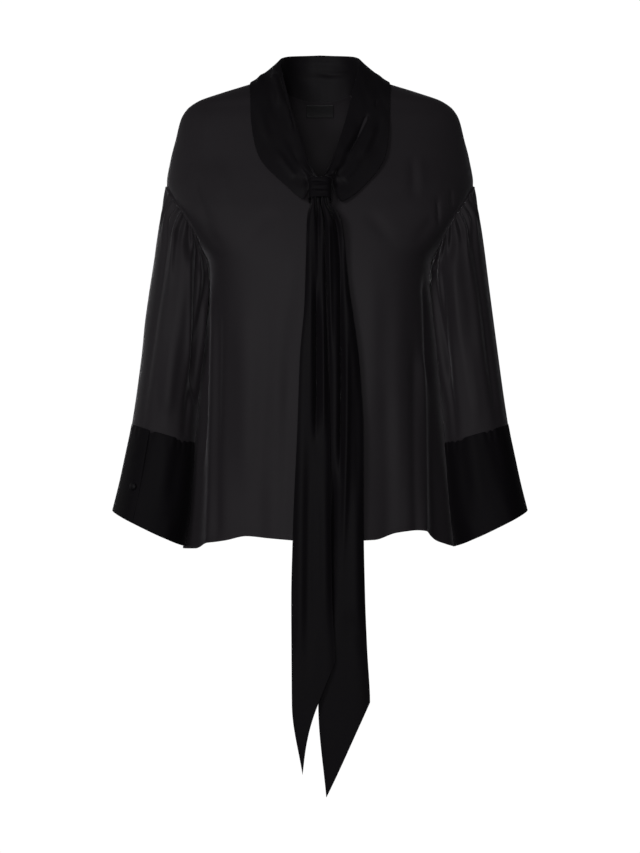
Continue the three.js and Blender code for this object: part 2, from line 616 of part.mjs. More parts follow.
// The tie's two tails. left and right are their edges as seen from the front, y is the middle of the cloth, and
// pleat is how far its folds swing to each side. The cut end slants from start, on the left for the longer tail, down
// to the tip, and bows by curve.
const TAIL_ROWS = 22;
const TAIL_ACROSS = 10;
const TAIL_CROWDING = 1.1; // draws the rows towards the keeper
const TAILS = {
  tie_right: {
    folds: 5,
    slant: { start: -848, tip: -1008, curve: -4 },
    rows: [
      { z: -162, left: -12.2, right: -1.4, y: -121.5, pleat: 7.8 },
      { z: -168, left: -12.2, right: -1.4, y: -123.5, pleat: 7.8 },
      { z: -192, left: -12.8, right: -1, y: -132.5, pleat: 7.6 },
      { z: -215, left: -16, right: 2, y: -141, pleat: 8 },
      { z: -245, left: -18.5, right: 5, y: -150, pleat: 8.5 },
      { z: -334, left: -22, right: 8.5, y: -161, pleat: 8.5 },
      { z: -412, left: -28.5, right: 11, y: -163, pleat: 8 },
      { z: -521, left: -32.5, right: 14, y: -165, pleat: 7 },
      { z: -660, left: -38.5, right: 16, y: -167, pleat: 5.5 },
      { z: -760, left: -41, right: 17.5, y: -168, pleat: 4 },
      { z: -850, left: -40.5, right: 21.5, y: -169, pleat: 2.5 },
      { z: -909, left: -40, right: 21.5, y: -169, pleat: 1.5 },
      { z: -1008, left: -24.8, right: 21.5, y: -167, pleat: 0.6 },
    ],
  },
  tie_left: {
    folds: 5,
    slant: { start: -906, tip: -1042, curve: 8 },
    rows: [
      { z: -162, left: 1.4, right: 12.2, y: -121.5, pleat: 7.8 },
      { z: -168, left: 1.4, right: 12.2, y: -123.5, pleat: 7.8 },
      { z: -192, left: 1.2, right: 13.1, y: -133, pleat: 7.8 },
      { z: -215, left: 4.5, right: 25, y: -141, pleat: 8 },
      { z: -245, left: 7, right: 31.5, y: -149, pleat: 8 },
      { z: -311, left: 10, right: 39, y: -157, pleat: 8 },
      { z: -358, left: 12, right: 45.5, y: -159, pleat: 7.5 },
      { z: -431, left: 13.5, right: 54.5, y: -160, pleat: 6.5 },
      { z: -521, left: 15, right: 60.5, y: -160, pleat: 5.5 },
      { z: -660, left: 16.5, right: 62, y: -160.5, pleat: 4.2 },
      { z: -760, left: 12, right: 64.5, y: -160.5, pleat: 3.2 },
      { z: -832, left: 4, right: 67.5, y: -160, pleat: 2.2 },
      { z: -909, left: -2.5, right: 71.5, y: -159, pleat: 1.2 },
      { z: -1042, left: 9, right: 71.5, y: -157, pleat: 0.6 },
    ],
  },
};

function tail({ folds, slant, rows }) {
  const at = (name) => column(rows, "z", name);
  const [left, right, middle, pleat] = [at("left"), at("right"), at("y"), at("pleat")];
  const top = rows[0].z;
  return Array.from({ length: TAIL_ROWS + 1 }, (_, j) =>
    Array.from({ length: TAIL_ACROSS + 1 }, (_, i) => {
      const v = i / TAIL_ACROSS;
      const level = lerp(top, slant.tip, (j / TAIL_ROWS) ** TAIL_CROWDING);
      const lowest = lerp(slant.tip, slant.start, v) - slant.curve * Math.sin(Math.PI * v);
      const z = lerp(top, lowest, (top - level) / (top - slant.tip));
      const x = lerp(left(z), right(z), v);
      const swing = Math.cos(v * folds * Math.PI);
      return point(x, middle(z) + pleat(z) * swing, z);
    }),
  );
}

// The keeper: a flattened loop of doubled cloth that leans with the chest.
const KEEPER = { width: 34, depth: 27, height: 32, lean: 20, y: -125.5, z: -172, round: 3.6 };
const KEEPER_SIDES = 24;
const KEEPER_ROWS = [0.5, 0.17, -0.17, -0.5]; // shares of its height

function keeper() {
  const rows = KEEPER_ROWS.map((share) =>
    angles(KEEPER_SIDES).map((angle) => {
      const [c, s] = roundedTurn(angle, KEEPER.round);
      return point((c * (KEEPER.width - DOUBLED)) / 2, (-s * (KEEPER.depth - DOUBLED)) / 2, share * KEEPER.height)
        .applyAxisAngle(AXES[0], radians(-KEEPER.lean))
        .add(point(0, KEEPER.y, KEEPER.z));
    }),
  );
  return closed(rows);
}

// The place on a panel's own facets that lies at x, z in the front view, and the direction out of it.
function seatOn(side, x, z) {
  const along = new THREE.Vector3(0, SIDES[side].forward, 0);
  const ray = new THREE.Ray(point(x, 0, z), along);
  const { points, quads } = surface(...PANELS[side]);
  for (const quad of quads) {
    const [a, b, c, d] = quad.map((i) => points[i]);
    for (const facet of [[a, b, c], [a, c, d]]) {
      const place = ray.intersectTriangle(...facet, false, point(0, 0, 0));
      if (place) return { place, facing: new THREE.Triangle(...facet).getNormal(point(0, 0, 0)) };
    }
  }
  throw new Error("no cloth there");
}

// The label under the back neck seam, made from the back panel's points moved inwards.
const LABEL = { width: 42, height: 18, top: -21, thickness: 1, gap: 0.7, rows: 4, columns: 8 };

function label() {
  const inwards = CREPE / 2 + LABEL.gap + LABEL.thickness / 2;
  return Array.from({ length: LABEL.rows + 1 }, (_, j) =>
    Array.from({ length: LABEL.columns + 1 }, (_, i) => {
      const x = LABEL.width * (0.5 - i / LABEL.columns);
      const { place, facing } = seatOn("back", x, LABEL.top - (j / LABEL.rows) * LABEL.height);
      return place.addScaledVector(facing, -inwards);
    }),
  );
}

const BLACK_CREPE = new THREE.MeshStandardMaterial({ color: 0x242226, roughness: 0.75, metalness: 0 });
const DOUBLED_CREPE = new THREE.MeshStandardMaterial({ color: 0x121013, roughness: 0.7, metalness: 0 });
const SATIN = new THREE.MeshStandardMaterial({ color: 0x0b0b0c, roughness: 0.4, metalness: 0 });

const blouse = new THREE.Group();

function add(name, geometry, material) {
  const mesh = new THREE.Mesh(geometry, material);
  mesh.name = name;
  blouse.add(mesh);
  return mesh;
}

add("front", bodyPanel("front"), BLACK_CREPE);
add("back", bodyPanel("back"), BLACK_CREPE);

add("sleeve_left", wall(surface(sleeve()), CREPE), BLACK_CREPE);
add("sleeve_right", wall(surface(mirroredGrid(sleeve())), CREPE), BLACK_CREPE);

// The right cuff closes at its front, as shown. The left one shows no button there, so it closes at the back.
const OPENINGS = { left: radians(-62), right: radians(62) };
add("cuff_left", wall(surface(cuff(OPENINGS.left)), DOUBLED), DOUBLED_CREPE);
add("cuff_right", wall(surface(mirroredGrid(cuff(OPENINGS.right))), DOUBLED), DOUBLED_CREPE);

for (const side of ["left", "right"]) {
  const { place, facing } = buttonSeat(OPENINGS[side]);
  const flip = side === "left" ? 1 : -1;
  const mesh = add("cuff_button_" + side, button(), DOUBLED_CREPE);
  mesh.position.set(flip * place.x, place.y, place.z);
  mesh.quaternion.setFromUnitVectors(point(0, 1, 0), point(flip * facing.x, facing.y, facing.z));
}

add("collar", wall(surface(collar()), DOUBLED), DOUBLED_CREPE);
for (const [name, form] of Object.entries(TAILS)) add(name, wall(surface(tail(form)), DOUBLED), DOUBLED_CREPE);
add("tie_keeper", wall(surface(keeper()), DOUBLED), DOUBLED_CREPE);
add("neck_label", wall(surface(label()), LABEL.thickness), SATIN);

export default blouse;
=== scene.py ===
# A black tie-neck blouse in soft crepe, filled out as if worn with nobody in it: two body panels with dropped
# shoulders, full sleeves in deep flared cuffs, and a scarf collar drawn through a keeper into two long tails.
# Tables and sizes are in millimetres. +X is the wearer's left, -Y the front, +Z up, as in the CAD model.
import math

import bmesh
import bpy
import numpy as np
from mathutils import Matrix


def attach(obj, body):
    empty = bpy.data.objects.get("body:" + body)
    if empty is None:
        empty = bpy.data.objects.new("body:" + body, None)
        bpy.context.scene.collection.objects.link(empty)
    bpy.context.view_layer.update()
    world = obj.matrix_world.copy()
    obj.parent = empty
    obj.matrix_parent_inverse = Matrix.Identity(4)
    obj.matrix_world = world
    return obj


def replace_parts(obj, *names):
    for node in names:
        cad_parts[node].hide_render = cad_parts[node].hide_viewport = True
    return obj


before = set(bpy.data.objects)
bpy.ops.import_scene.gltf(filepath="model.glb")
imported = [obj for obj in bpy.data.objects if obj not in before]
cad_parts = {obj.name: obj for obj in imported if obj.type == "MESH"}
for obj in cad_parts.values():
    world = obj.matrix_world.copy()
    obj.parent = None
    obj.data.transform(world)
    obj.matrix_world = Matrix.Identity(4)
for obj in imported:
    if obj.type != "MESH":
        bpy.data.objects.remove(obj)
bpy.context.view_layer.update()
MM = 0.001

# The studio: a camera at half the blouse's height, a pale floor, a white surround, and large soft lamps. Two
# stand in front, behind the camera and on its left. Others light the left edge and the back.
scene = bpy.context.scene
scene.view_settings.view_transform = "Standard"
scene.view_settings.look = "None"

CAMERA_DISTANCE = 3.2
CAMERA_HEIGHT = -0.51225
SENSOR_WIDTH, FOCAL_LENGTH = 36, 120
lens = bpy.data.cameras.new("camera")
lens.sensor_fit = "HORIZONTAL"
lens.sensor_width, lens.lens = SENSOR_WIDTH, FOCAL_LENGTH
camera = bpy.data.objects.new("camera", lens)
camera.location = (0, -CAMERA_DISTANCE, CAMERA_HEIGHT)
camera.rotation_euler = (math.pi / 2, 0, 0)
scene.collection.objects.link(camera)
scene.camera = camera


def soft_lamp(name, place, aim, width, height, watts):
    """A rectangular soft lamp that shines from place towards aim."""
    lamp = bpy.data.lights.new(name, "AREA")
    lamp.shape = "RECTANGLE"
    lamp.size, lamp.size_y = width, height
    lamp.energy = watts
    holder = bpy.data.objects.new(name, lamp)
    direction = np.subtract(aim, place)
    side, rise = math.atan2(direction[0], direction[1]), math.atan2(direction[2], math.hypot(*direction[:2]))
    holder.location = place
    holder.rotation_euler = (math.pi / 2 + rise, 0, -side)
    scene.collection.objects.link(holder)


BLOUSE_MIDDLE = (0, 0, -0.4)
soft_lamp("key_lamp", (-1.4, -2.55, 0.45), BLOUSE_MIDDLE, 0.9, 0.9, 28)
soft_lamp("front_lamp", (-0.1, -3.6, -0.35), BLOUSE_MIDDLE, 0.9, 0.9, 45)
soft_lamp("edge_lamp", (-2.75, 1.2, -0.14), BLOUSE_MIDDLE, 0.6, 1.8, 9)
soft_lamp("back_lamp", (-0.6, 2.9, 0.3), BLOUSE_MIDDLE, 1.5, 1.5, 44)

SURROUND_CAST, SURROUND_SEEN = 0.03, 1.02  # the white that falls on the blouse, and that the camera sees
world = bpy.data.worlds.new("white_surround")
world.use_nodes = True
scene.world = world
nodes, links = world.node_tree.nodes, world.node_tree.links
nodes.clear()
cast, seen = nodes.new("ShaderNodeBackground"), nodes.new("ShaderNodeBackground")
for white, strength in ((cast, SURROUND_CAST), (seen, SURROUND_SEEN)):
    white.inputs["Color"].default_value = (1, 1, 1, 1)
    white.inputs["Strength"].default_value = strength
ray = nodes.new("ShaderNodeLightPath")
either = nodes.new("ShaderNodeMixShader")
surround = nodes.new("ShaderNodeOutputWorld")
links.new(ray.outputs["Is Camera Ray"], either.inputs[0])
links.new(cast.outputs[0], either.inputs[1])
links.new(seen.outputs[0], either.inputs[2])
links.new(either.outputs[0], surround.inputs["Surface"])

FLOOR_Z = -1.45
FLOOR_RADIUS = 1.6
FLOOR_WHITE, FLOOR_GLOW = 0.9, 0.95
bpy.ops.mesh.primitive_circle_add(vertices=128, radius=FLOOR_RADIUS, fill_type="NGON", location=(0, 0, 0))
floor = bpy.context.object
floor.name = "floor"
for corner in floor.data.vertices:
    corner.co.z = FLOOR_Z
floor_paint = bpy.data.materials.new("white_floor")
floor_paint.use_nodes = True
floor_shader = floor_paint.node_tree.nodes["Principled BSDF"]
floor_shader.inputs["Base Color"].default_value = (FLOOR_WHITE, FLOOR_WHITE, FLOOR_WHITE, 1)
floor_shader.inputs["Roughness"].default_value = 0.9
floor_shader.inputs["Emission Color"].default_value = (1, 1, 1, 1)
floor_shader.inputs["Emission Strength"].default_value = FLOOR_GLOW
floor.data.materials.append(floor_paint)
floor.visible_diffuse = False
floor.visible_glossy = False

# Front and back: each is cut in one piece from a single layer of soft black crepe, and joined to the other
# along the shoulders and sides. The cloth falls loose from the chest to a curved hem and turns at the sides.


def table(names, *rows):
    """Rows of numbers, read by the names of their columns."""
    return dict(zip(names.split(), np.array(rows, float).T))


def ramp(value, start, end):
    """A soft step from 0 at start to 1 at end."""
    t = np.clip((np.asarray(value, float) - start) / (end - start), 0, 1)
    return t * t * (3 - 2 * t)


def smooth(rows, key, name):
    """One column of a table as a smooth function of another, with no overshoot between rows."""
    order = np.argsort(rows[key])
    at, value = rows[key][order], rows[name][order]
    slope = np.diff(value) / np.diff(at)
    before, after = np.r_[slope[0], slope], np.r_[slope, slope[-1]]
    total = before + after
    tangent = np.where(before * after > 0, 2 * before * after / np.where(total == 0, 1, total), 0)

    def read(x):
        x = np.clip(x, at[0], at[-1])
        i = np.clip(np.searchsorted(at, x, "right") - 1, 0, len(at) - 2)
        span = at[i + 1] - at[i]
        t = (x - at[i]) / span
        return (
            (2 * t**3 - 3 * t**2 + 1) * value[i]
            + (t**3 - 2 * t**2 + t) * span * tangent[i]
            + (3 * t**2 - 2 * t**3) * value[i + 1]
            + (t**3 - t**2) * span * tangent[i + 1]
        )

    return read


def path_through(points):
    """A smooth path through points. It takes shares from 0 to 1, spread over the points in even steps."""
    p = np.array(points, float)
    p = np.concatenate([2 * p[:1] - p[1:2], p, 2 * p[-1:] - p[-2:-1]])

    def at(share):
        step = np.clip(np.asarray(share, float), 0, 1) * (len(p) - 3)
        i = np.minimum(step.astype(int), len(p) - 4)
        t = (step - i).reshape(step.shape + (1,) * (p.ndim - 1))
        a, b, c, d = p[i], p[i + 1], p[i + 2], p[i + 3]
        bend, twist = 2 * a - 5 * b + 4 * c - d, 3 * b - a - 3 * c + d
        return 0.5 * (2 * b + (c - a) * t + bend * t**2 + twist * t**3)

    return at


def evenly(points, share):
    """The points at the given shares of the length of a path of straight steps."""
    points = np.asarray(points, float)
    length = np.r_[0, np.cumsum(np.linalg.norm(np.diff(points, axis=0), axis=1))]
    return np.stack([np.interp(np.asarray(share) * length[-1], length, c) for c in points.T], -1)


FINE = np.linspace(0, 1, 400)

BODY = table(
    "z half front back front_shape back_shape",
    (10, 74, 0, 0, 2.4, 1.6),
    (4, 95, 14, 26, 2.4, 1.6),
    (-1.5, 112.5, 21, 40, 2.4, 1.6),
    (-13.5, 150, 32, 58, 2.4, 1.7),
    (-25.5, 183, 41, 67, 2.4, 1.8),
    (-37.5, 199.5, 48, 74, 2.3, 1.9),
    (-52.5, 208.5, 57, 80, 2.3, 2),
    (-82.5, 216, 71, 91, 2.3, 2.1),
    (-112.5, 223.5, 84, 98, 2.3, 2.3),
    (-153, 229.5, 101, 104, 2.5, 2.5),
    (-177, 224, 110, 106, 2.7, 2.7),
    (-197, 215, 117, 107, 2.9, 2.9),
    (-220, 201, 124, 108, 3, 3),
    (-248, 180, 131, 109, 3.2, 3),
    (-270, 165, 135, 109, 3.4, 3.1),
    (-300, 163, 138, 110, 3.4, 3),
    (-340, 168, 140, 111, 3.1, 2.8),
    (-400, 175, 141, 112, 2.9, 2.6),
    (-472, 182, 143, 115, 2.7, 2.5),
    (-550, 189, 145, 120, 2.5, 2.4),
    (-620, 196, 148, 126, 2.4, 2.4),
    (-700, 204, 151, 134, 2.4, 2.4),
)
TOP_Z = 10
half_width = smooth(BODY, "z", "half")
DEPTH = {side: smooth(BODY, "z", side) for side in ("front", "back")}
SHAPE = {side: smooth(BODY, "z", side + "_shape") for side in ("front", "back")}
FORWARD = {"front": -1, "back": 1}


def on_body(side, x, z):
    """The points of a body panel at x and z in the front view."""
    x, z = np.broadcast_arrays(x, z)
    power = SHAPE[side](z)
    rest = np.clip(1 - (np.abs(x) / half_width(z)) ** power, 0, 1)
    return np.stack([x, FORWARD[side] * DEPTH[side](z) * rest ** (1 / power), z], -1)


NECK_SIDE_X = 74
ARMHOLE_TOP_Z = -153
UNDERARM_Z = -270
ARMHOLE = [(229.5, -153), (215, -177), (201, -198), (189, -218), (180, -236), (172, -254), (165, -270)]
ARMHOLE = evenly(path_through(ARMHOLE)(FINE), FINE)
NECKLINE = {
    "front": [(74, 10), (67, -20), (57, -52), (47, -82), (36, -112), (25, -140), (12, -162), (0, -172)],
    "back": [(74, 10), (64, 2), (50, -7), (34, -12.5), (17, -16), (0, -17)],
}
# The height of the hem round the body. The angle is 0 at the centre front and grows to the wearer's left.
HEM = table(
    "angle z",
    (-180, -666), (-125, -670), (-90, -693), (-65, -691),
    (-53, -683), (-38, -676.5), (-28, -670), (-18, -672.5),
    (0, -676.5), (19, -675), (30, -665), (40, -662),
    (48, -666), (58, -680), (70, -688), (90, -691),
    (125, -670), (180, -666),
)
hem_at = smooth(HEM, "angle", "z")

PANEL_COLUMNS = 76  # steps across half a panel
NECK_ROWS, CHEST_ROWS, SKIRT_ROWS = 44, 30, 104  # to the point of the V, to the underarm, to the hem
NECK_SHARE = 0.502  # how far down to the underarm the point of the V lies
TOP_CROWDING = 1.7  # draws the first rows towards the rounded shoulder


def panel_half(side, hand):
    """Half a panel, in rows from the shoulder to the hem that run from the side to the centre."""
    u = np.linspace(0, 1, PANEL_COLUMNS + 1)[None, :, None]
    down = np.concatenate([
        NECK_SHARE * np.linspace(0, 1, NECK_ROWS + 1) ** TOP_CROWDING,
        np.linspace(NECK_SHARE, 1, CHEST_ROWS + 1)[1:],
    ])
    v = down[:, None, None]
    ridge_z = np.r_[np.arange(ARMHOLE_TOP_Z, TOP_Z, 1.0), TOP_Z]
    shoulder = evenly(np.stack([half_width(ridge_z), ridge_z], -1), u[0, :, 0])
    shoulder[-1] = NECK_SIDE_X, TOP_Z
    quarter = (1 - u[0, :, 0]) * math.pi / 2

    def round_section(z):
        across = half_width(z) * np.sin(quarter) ** (2 / SHAPE[side](z))
        return np.where(u[0, :, 0] == 1, 0, across)

    chest_z = np.full(PANEL_COLUMNS + 1, UNDERARM_Z)
    underarm = np.stack([round_section(chest_z), chest_z], -1)
    neck = evenly(path_through(NECKLINE[side])(FINE), np.minimum(down / NECK_SHARE, 1))
    point_z = NECKLINE[side][-1][1]
    low = point_z + (UNDERARM_Z - point_z) * np.clip((down - NECK_SHARE) / (1 - NECK_SHARE), 0, 1)
    inner = np.where((down > NECK_SHARE)[:, None], np.stack([0 * low, low], -1), neck)[:, None, :]
    outer = evenly(ARMHOLE, down)[:, None, :]
    side_edge, middle_edge = ((1 - v) * shoulder[k] + v * underarm[k] for k in (0, -1))
    corners = (1 - u) * side_edge + u * middle_edge
    flat = (1 - v) * shoulder[None] + v * underarm[None] + (1 - u) * outer + u * inner - corners
    upper = on_body(side, flat[..., 0], flat[..., 1])
    upper[0] = np.stack([shoulder[:, 0], 0 * shoulder[:, 0], shoulder[:, 1]], -1)
    turned = np.degrees(quarter)
    bottom = hem_at(hand * (turned if side == "front" else 180 - turned))
    levels = UNDERARM_Z + np.linspace(0, 1, SKIRT_ROWS + 1)[1:, None] * (bottom - UNDERARM_Z)[None]
    lower = np.stack([on_body(side, round_section(z), z) for z in levels])
    half = np.concatenate([upper, lower])
    return half if hand > 0 else half[:, ::-1] * (-1, 1, 1)


TINY = 1e-9


def directions(points):
    """The direction out of each point of a grid of points. It depends on which way the rows run."""
    out = np.cross(np.gradient(points, axis=1), np.gradient(points, axis=0))
    return out / np.maximum(np.linalg.norm(out, axis=-1, keepdims=True), TINY)


# Large folds that hang in the body, as in the CAD model. They start at top and are full at the hem.
BODY_FOLDS = table(
    "angle width depth top",
    (-66, 7, -5, -320), (-52, 8, 4, -400), (-36, 9, -3, -430), (-78, 5, 3, -430),
    (60, 6, -6, -340), (50, 7, 4, -380), (71, 5, 3, -480), (80, 4, -3, -520),
    (34, 9, -3, -420), (112, 9, 5, -330), (130, 9, -6, -300), (149, 9, 6, -280),
    (168, 9, -6, -300), (-173, 9, 6, -270), (-154, 9, -6, -320), (-135, 9, 6, -300),
    (-113, 8, -5, -350),
)
FOLD_FULL_Z = -640


def rows_of(rows):
    """The rows of a table, one by one."""
    return (dict(zip(rows, values)) for values in zip(*rows.values()))


def swell(angle, fold):
    """A soft round swell at a fold's own angle, in degrees, from 0 beside it to 1 at its middle."""
    away = (angle - fold["angle"] + 180) % 360 - 180
    return np.exp(-((away / fold["width"]) ** 2))


def fold_depth(p):
    """How far the large folds move the body's cloth outwards at each point."""
    angle = np.degrees(np.arctan2(p[..., 0], -p[..., 1]))
    total = np.zeros(p.shape[:-1])
    for fold in rows_of(BODY_FOLDS):
        total += fold["depth"] * swell(angle, fold) * ramp(p[..., 2], fold["top"], FOLD_FULL_Z)
    return total


USUAL_ENDS = (0.4, 0.4, 2)
CREASE_STEPS = 25
CREASE_REACH = 3  # how many of its widths a crease reaches to each side
NO_FADE = 1e-6


def creases(*rows):
    """A table of creases. A crease runs from its top to its low end, bows sideways, and fades at an end by
    the share of its length given there. A higher edge makes it rounder, a lower one sharper. A row may leave
    out its last values, which are then the usual ones."""
    names = "x_top z_top x_low z_low bow width depth fade_top fade_low edge"
    return table(names, *[(*row, *USUAL_ENDS[len(row) - 7 :]) for row in rows])


def creased(flat, given):
    """How far creases move each point of a piece out (ridges) or in (troughs). flat is where the points lie
    in the table's own two directions."""
    total = np.zeros(flat.shape[:-1])
    t = np.linspace(0, 1, CREASE_STEPS)
    for c in rows_of(given):
        top, low = np.array([c["x_top"], c["z_top"]]), np.array([c["x_low"], c["z_low"]])
        run = low - top
        sideways = np.array([-run[1], run[0]]) / np.linalg.norm(run)
        line = top + t[:, None] * run + (4 * t * (1 - t) * c["bow"])[:, None] * sideways
        reach = CREASE_REACH * c["width"]
        near = np.all((flat > line.min(0) - reach) & (flat < line.max(0) + reach), axis=-1)
        if not near.any():
            continue
        p = flat[near][:, None, :]
        a, step = line[None, :-1], np.diff(line, axis=0)[None]
        along = np.clip(((p - a) * step).sum(-1) / (step**2).sum(-1), 0, 1)
        gap = np.linalg.norm(p - a - along[..., None] * step, axis=-1)
        nearest = gap.argmin(1)
        pick = np.arange(len(nearest))
        share = (nearest + along[pick, nearest]) / (len(t) - 1)
        fade_top, fade_low = max(c["fade_top"], NO_FADE), max(c["fade_low"], NO_FADE)
        fade = ramp(share, -NO_FADE, fade_top) * ramp(1 - share, -NO_FADE, fade_low)
        total[near] += c["depth"] * np.exp(-((gap[pick, nearest] / c["width"]) ** c["edge"])) * fade
    return total


# Creases of the panels, placed as seen from the front, those of the back as if seen through it.
CREASES = {}
CREASES["front"] = creases(
    (-157, -268, -162, -700, 2, 6, 3.4, 0.2, 0, 1.6), (-165, -290, -172, -600, 1, 4.5, -5, 0.2, 0.3, 1.7),
    (-146, -300, -149, -690, -3, 8, -3, 0.3, 0.1), (-110, -290, -106, -640, 5, 20, 5.6, 0.35, 0.3),
    (-150, -300, -152, -560, -2, 9, -3, 0.3, 0.3), (-82, -420, -84, -690, -4, 12, -2, 0.3, 0.1),
    (-62, -280, -64, -560, 3, 13, 2.6), (-45, -380, -54, -690, 2, 10, -2.4, 0.3, 0),
    (-28, -250, -52, -420, -6, 12, 1.6), (152, -282, 157, -470, 1, 5, -5, 0.2, 0.3, 1.7),
    (147, -390, 151, -690, 2, 5, 3.8, 0.15, 0, 1.5), (137, -360, 140, -690, -2, 7, -3, 0.25, 0),
    (116, -270, 112, -640, -3, 15, 2.6, 0.35, 0.3), (94, -420, 98, -690, 3, 11, -2, 0.3, 0),
    (74, -250, 70, -560, 4, 14, 2.2), (136, -108, 134, -190, 2, 7, -2.6, 0.4, 0.5),
    (147, -112, 149, -185, -2, 8, 1.6, 0.4, 0.5), (170, -172, 173, -224, 1, 3, -2.6, 0.3, 0.4, 1.6),
    (191, -160, 193, -198, 1, 3, -2, 0.4, 0.4, 1.6), (-175, -24, -172, -126, 3, 9, 1.8, 0.4, 0.5),
    (-150, -112, -138, -215, 3, 10, 1.8, 0.4, 0.5), (-190, -130, -152, -238, -3, 9, -3, 0.3),
    (-60, -196, -110, -262, -5, 11, -1.4, 0.3, 0.6), (62, -198, 112, -268, 5, 11, -1.6, 0.3, 0.6),
    (165, -204, 128, -250, 4, 8, -1.4, 0.2, 0.6), (-168, -214, -132, -262, -4, 8, -1.6, 0.2, 0.6),
)
CREASES["back"] = creases(
    (-160, -262, -166, -700, 3, 7, 3, 0.25, 0, 1.6), (158, -262, 165, -700, -3, 7, 3, 0.25, 0, 1.6),
    (-112, -190, -120, -560, 5, 13, 3.4), (-78, -110, -84, -430, -4, 11, -3),
    (-40, -160, -34, -690, 5, 14, 3.2, 0.35, 0), (6, -90, 2, -470, -4, 12, -2.6),
    (44, -140, 50, -690, -5, 13, 3, 0.35, 0), (86, -120, 80, -420, 4, 11, -2.8),
    (118, -200, 126, -600, -4, 12, 3.4), (-170, -200, -120, -300, -6, 8, -2.8, 0.2, 0.6),
    (168, -196, 124, -290, 6, 8, -2.8, 0.2, 0.6), (-176, -232, -134, -350, -4, 6, -2, 0.2, 0.6),
    (172, -226, 138, -340, 4, 6, -2, 0.2, 0.6), (-60, -40, -110, -120, 5, 10, -1.2, 0.3, 0.6),
    (64, -42, 108, -112, -5, 10, -1.2, 0.3, 0.6),
)
SEAM_DIP = 0.66  # how far the cloth is drawn in along a seam
DIP_REACH = {"side": 2.2, "shoulder": 2}  # how many columns or rows it takes
CREASE_START = {"side": 4, "shoulder": 5}  # how many columns or rows from a seam the creases are whole
SEAM_GAP = 0.25


def panel(side):
    """A whole panel with its folds and creases, in rows that run from the wearer's left to the right. The
    centre column is there twice, once for each half, because the halves part above the neckline's point."""
    halves = [panel_half(side, 1), panel_half(side, -1)]
    for half in halves:
        reach = np.linalg.norm(half[..., :2], axis=-1, keepdims=True)
        half[..., :2] *= 1 + fold_depth(half)[..., None] / np.maximum(reach, 1)
    outs = [directions(half) * (1 if side == "front" else -1) for half in halves]
    middle = (outs[0][NECK_ROWS:, -1] + outs[1][NECK_ROWS:, 0]) / 2
    outs[0][NECK_ROWS:, -1] = outs[1][NECK_ROWS:, 0] = middle
    halves[1][NECK_ROWS:, 0] = halves[0][NECK_ROWS:, -1]
    points, out = np.concatenate(halves, axis=1), np.concatenate(outs, axis=1)
    moved = creased(points[..., [0, 2]], CREASES[side])
    rows, columns = points.shape[:2]
    from_side = np.minimum(np.arange(columns), np.arange(columns)[::-1])[None, :]
    from_shoulder = np.arange(rows)[:, None]
    at_side = np.exp(-((from_side / DIP_REACH["side"]) ** 2)) * (from_shoulder <= NECK_ROWS + CHEST_ROWS)
    sewn = at_side + np.exp(-((from_shoulder / DIP_REACH["shoulder"]) ** 2))
    moved *= ramp(from_side, 0, CREASE_START["side"]) * ramp(from_shoulder, 0, CREASE_START["shoulder"])
    points = points + out * (moved - SEAM_DIP * np.minimum(sewn, 1))[..., None]
    points[..., 1] += FORWARD[side] * SEAM_GAP
    return points


PEBBLE, PEBBLE_TONE, PEBBLE_HEIGHT = {"Scale": 900, "Detail": 3}, (0.86, 1.14), 0.0004
CLOUD, CLOUD_TONE = {"Scale": 9, "Detail": 2}, (0.94, 1.06)
NOISE_RANGE = {"From Min": 0.25, "From Max": 0.75}
UNEVEN_GLOSS = 0.05
THREADS = {"X": 0.0006, "Y": 0.0007}  # metres from one thread to the next
BAND = 0.314  # the scale of a wave texture whose bands are a metre apart
WAVER = {"Distortion": 1.6, "Detail": 1}
WEAVE_SHARE = 0.45  # how deep the weave is, against the pebble
SHEEN_TINT = (0.9, 0.87, 0.93, 1)


def set_values(node, values):
    """Sets inputs of a node by their names."""
    for name, value in values.items():
        node.inputs[name].default_value = value
    return node


def tinted(material, colour, tone, height, relief, depth):
    """Ties a tone, which darkens and lightens the colour, and a height into the shader of a material."""
    nodes, links = material.node_tree.nodes, material.node_tree.links
    shader = nodes["Principled BSDF"]
    mixed = nodes.new("ShaderNodeMix")
    mixed.data_type, mixed.blend_type = "RGBA", "MULTIPLY"
    set_values(mixed, {"Factor": 1, "A": (*colour, 1)})
    links.new(tone, mixed.inputs["B"])
    links.new(mixed.outputs["Result"], shader.inputs["Base Color"])
    bump = set_values(nodes.new("ShaderNodeBump"), {"Strength": relief, "Distance": depth})
    links.new(height, bump.inputs["Height"])
    links.new(bump.outputs["Normal"], shader.inputs["Normal"])


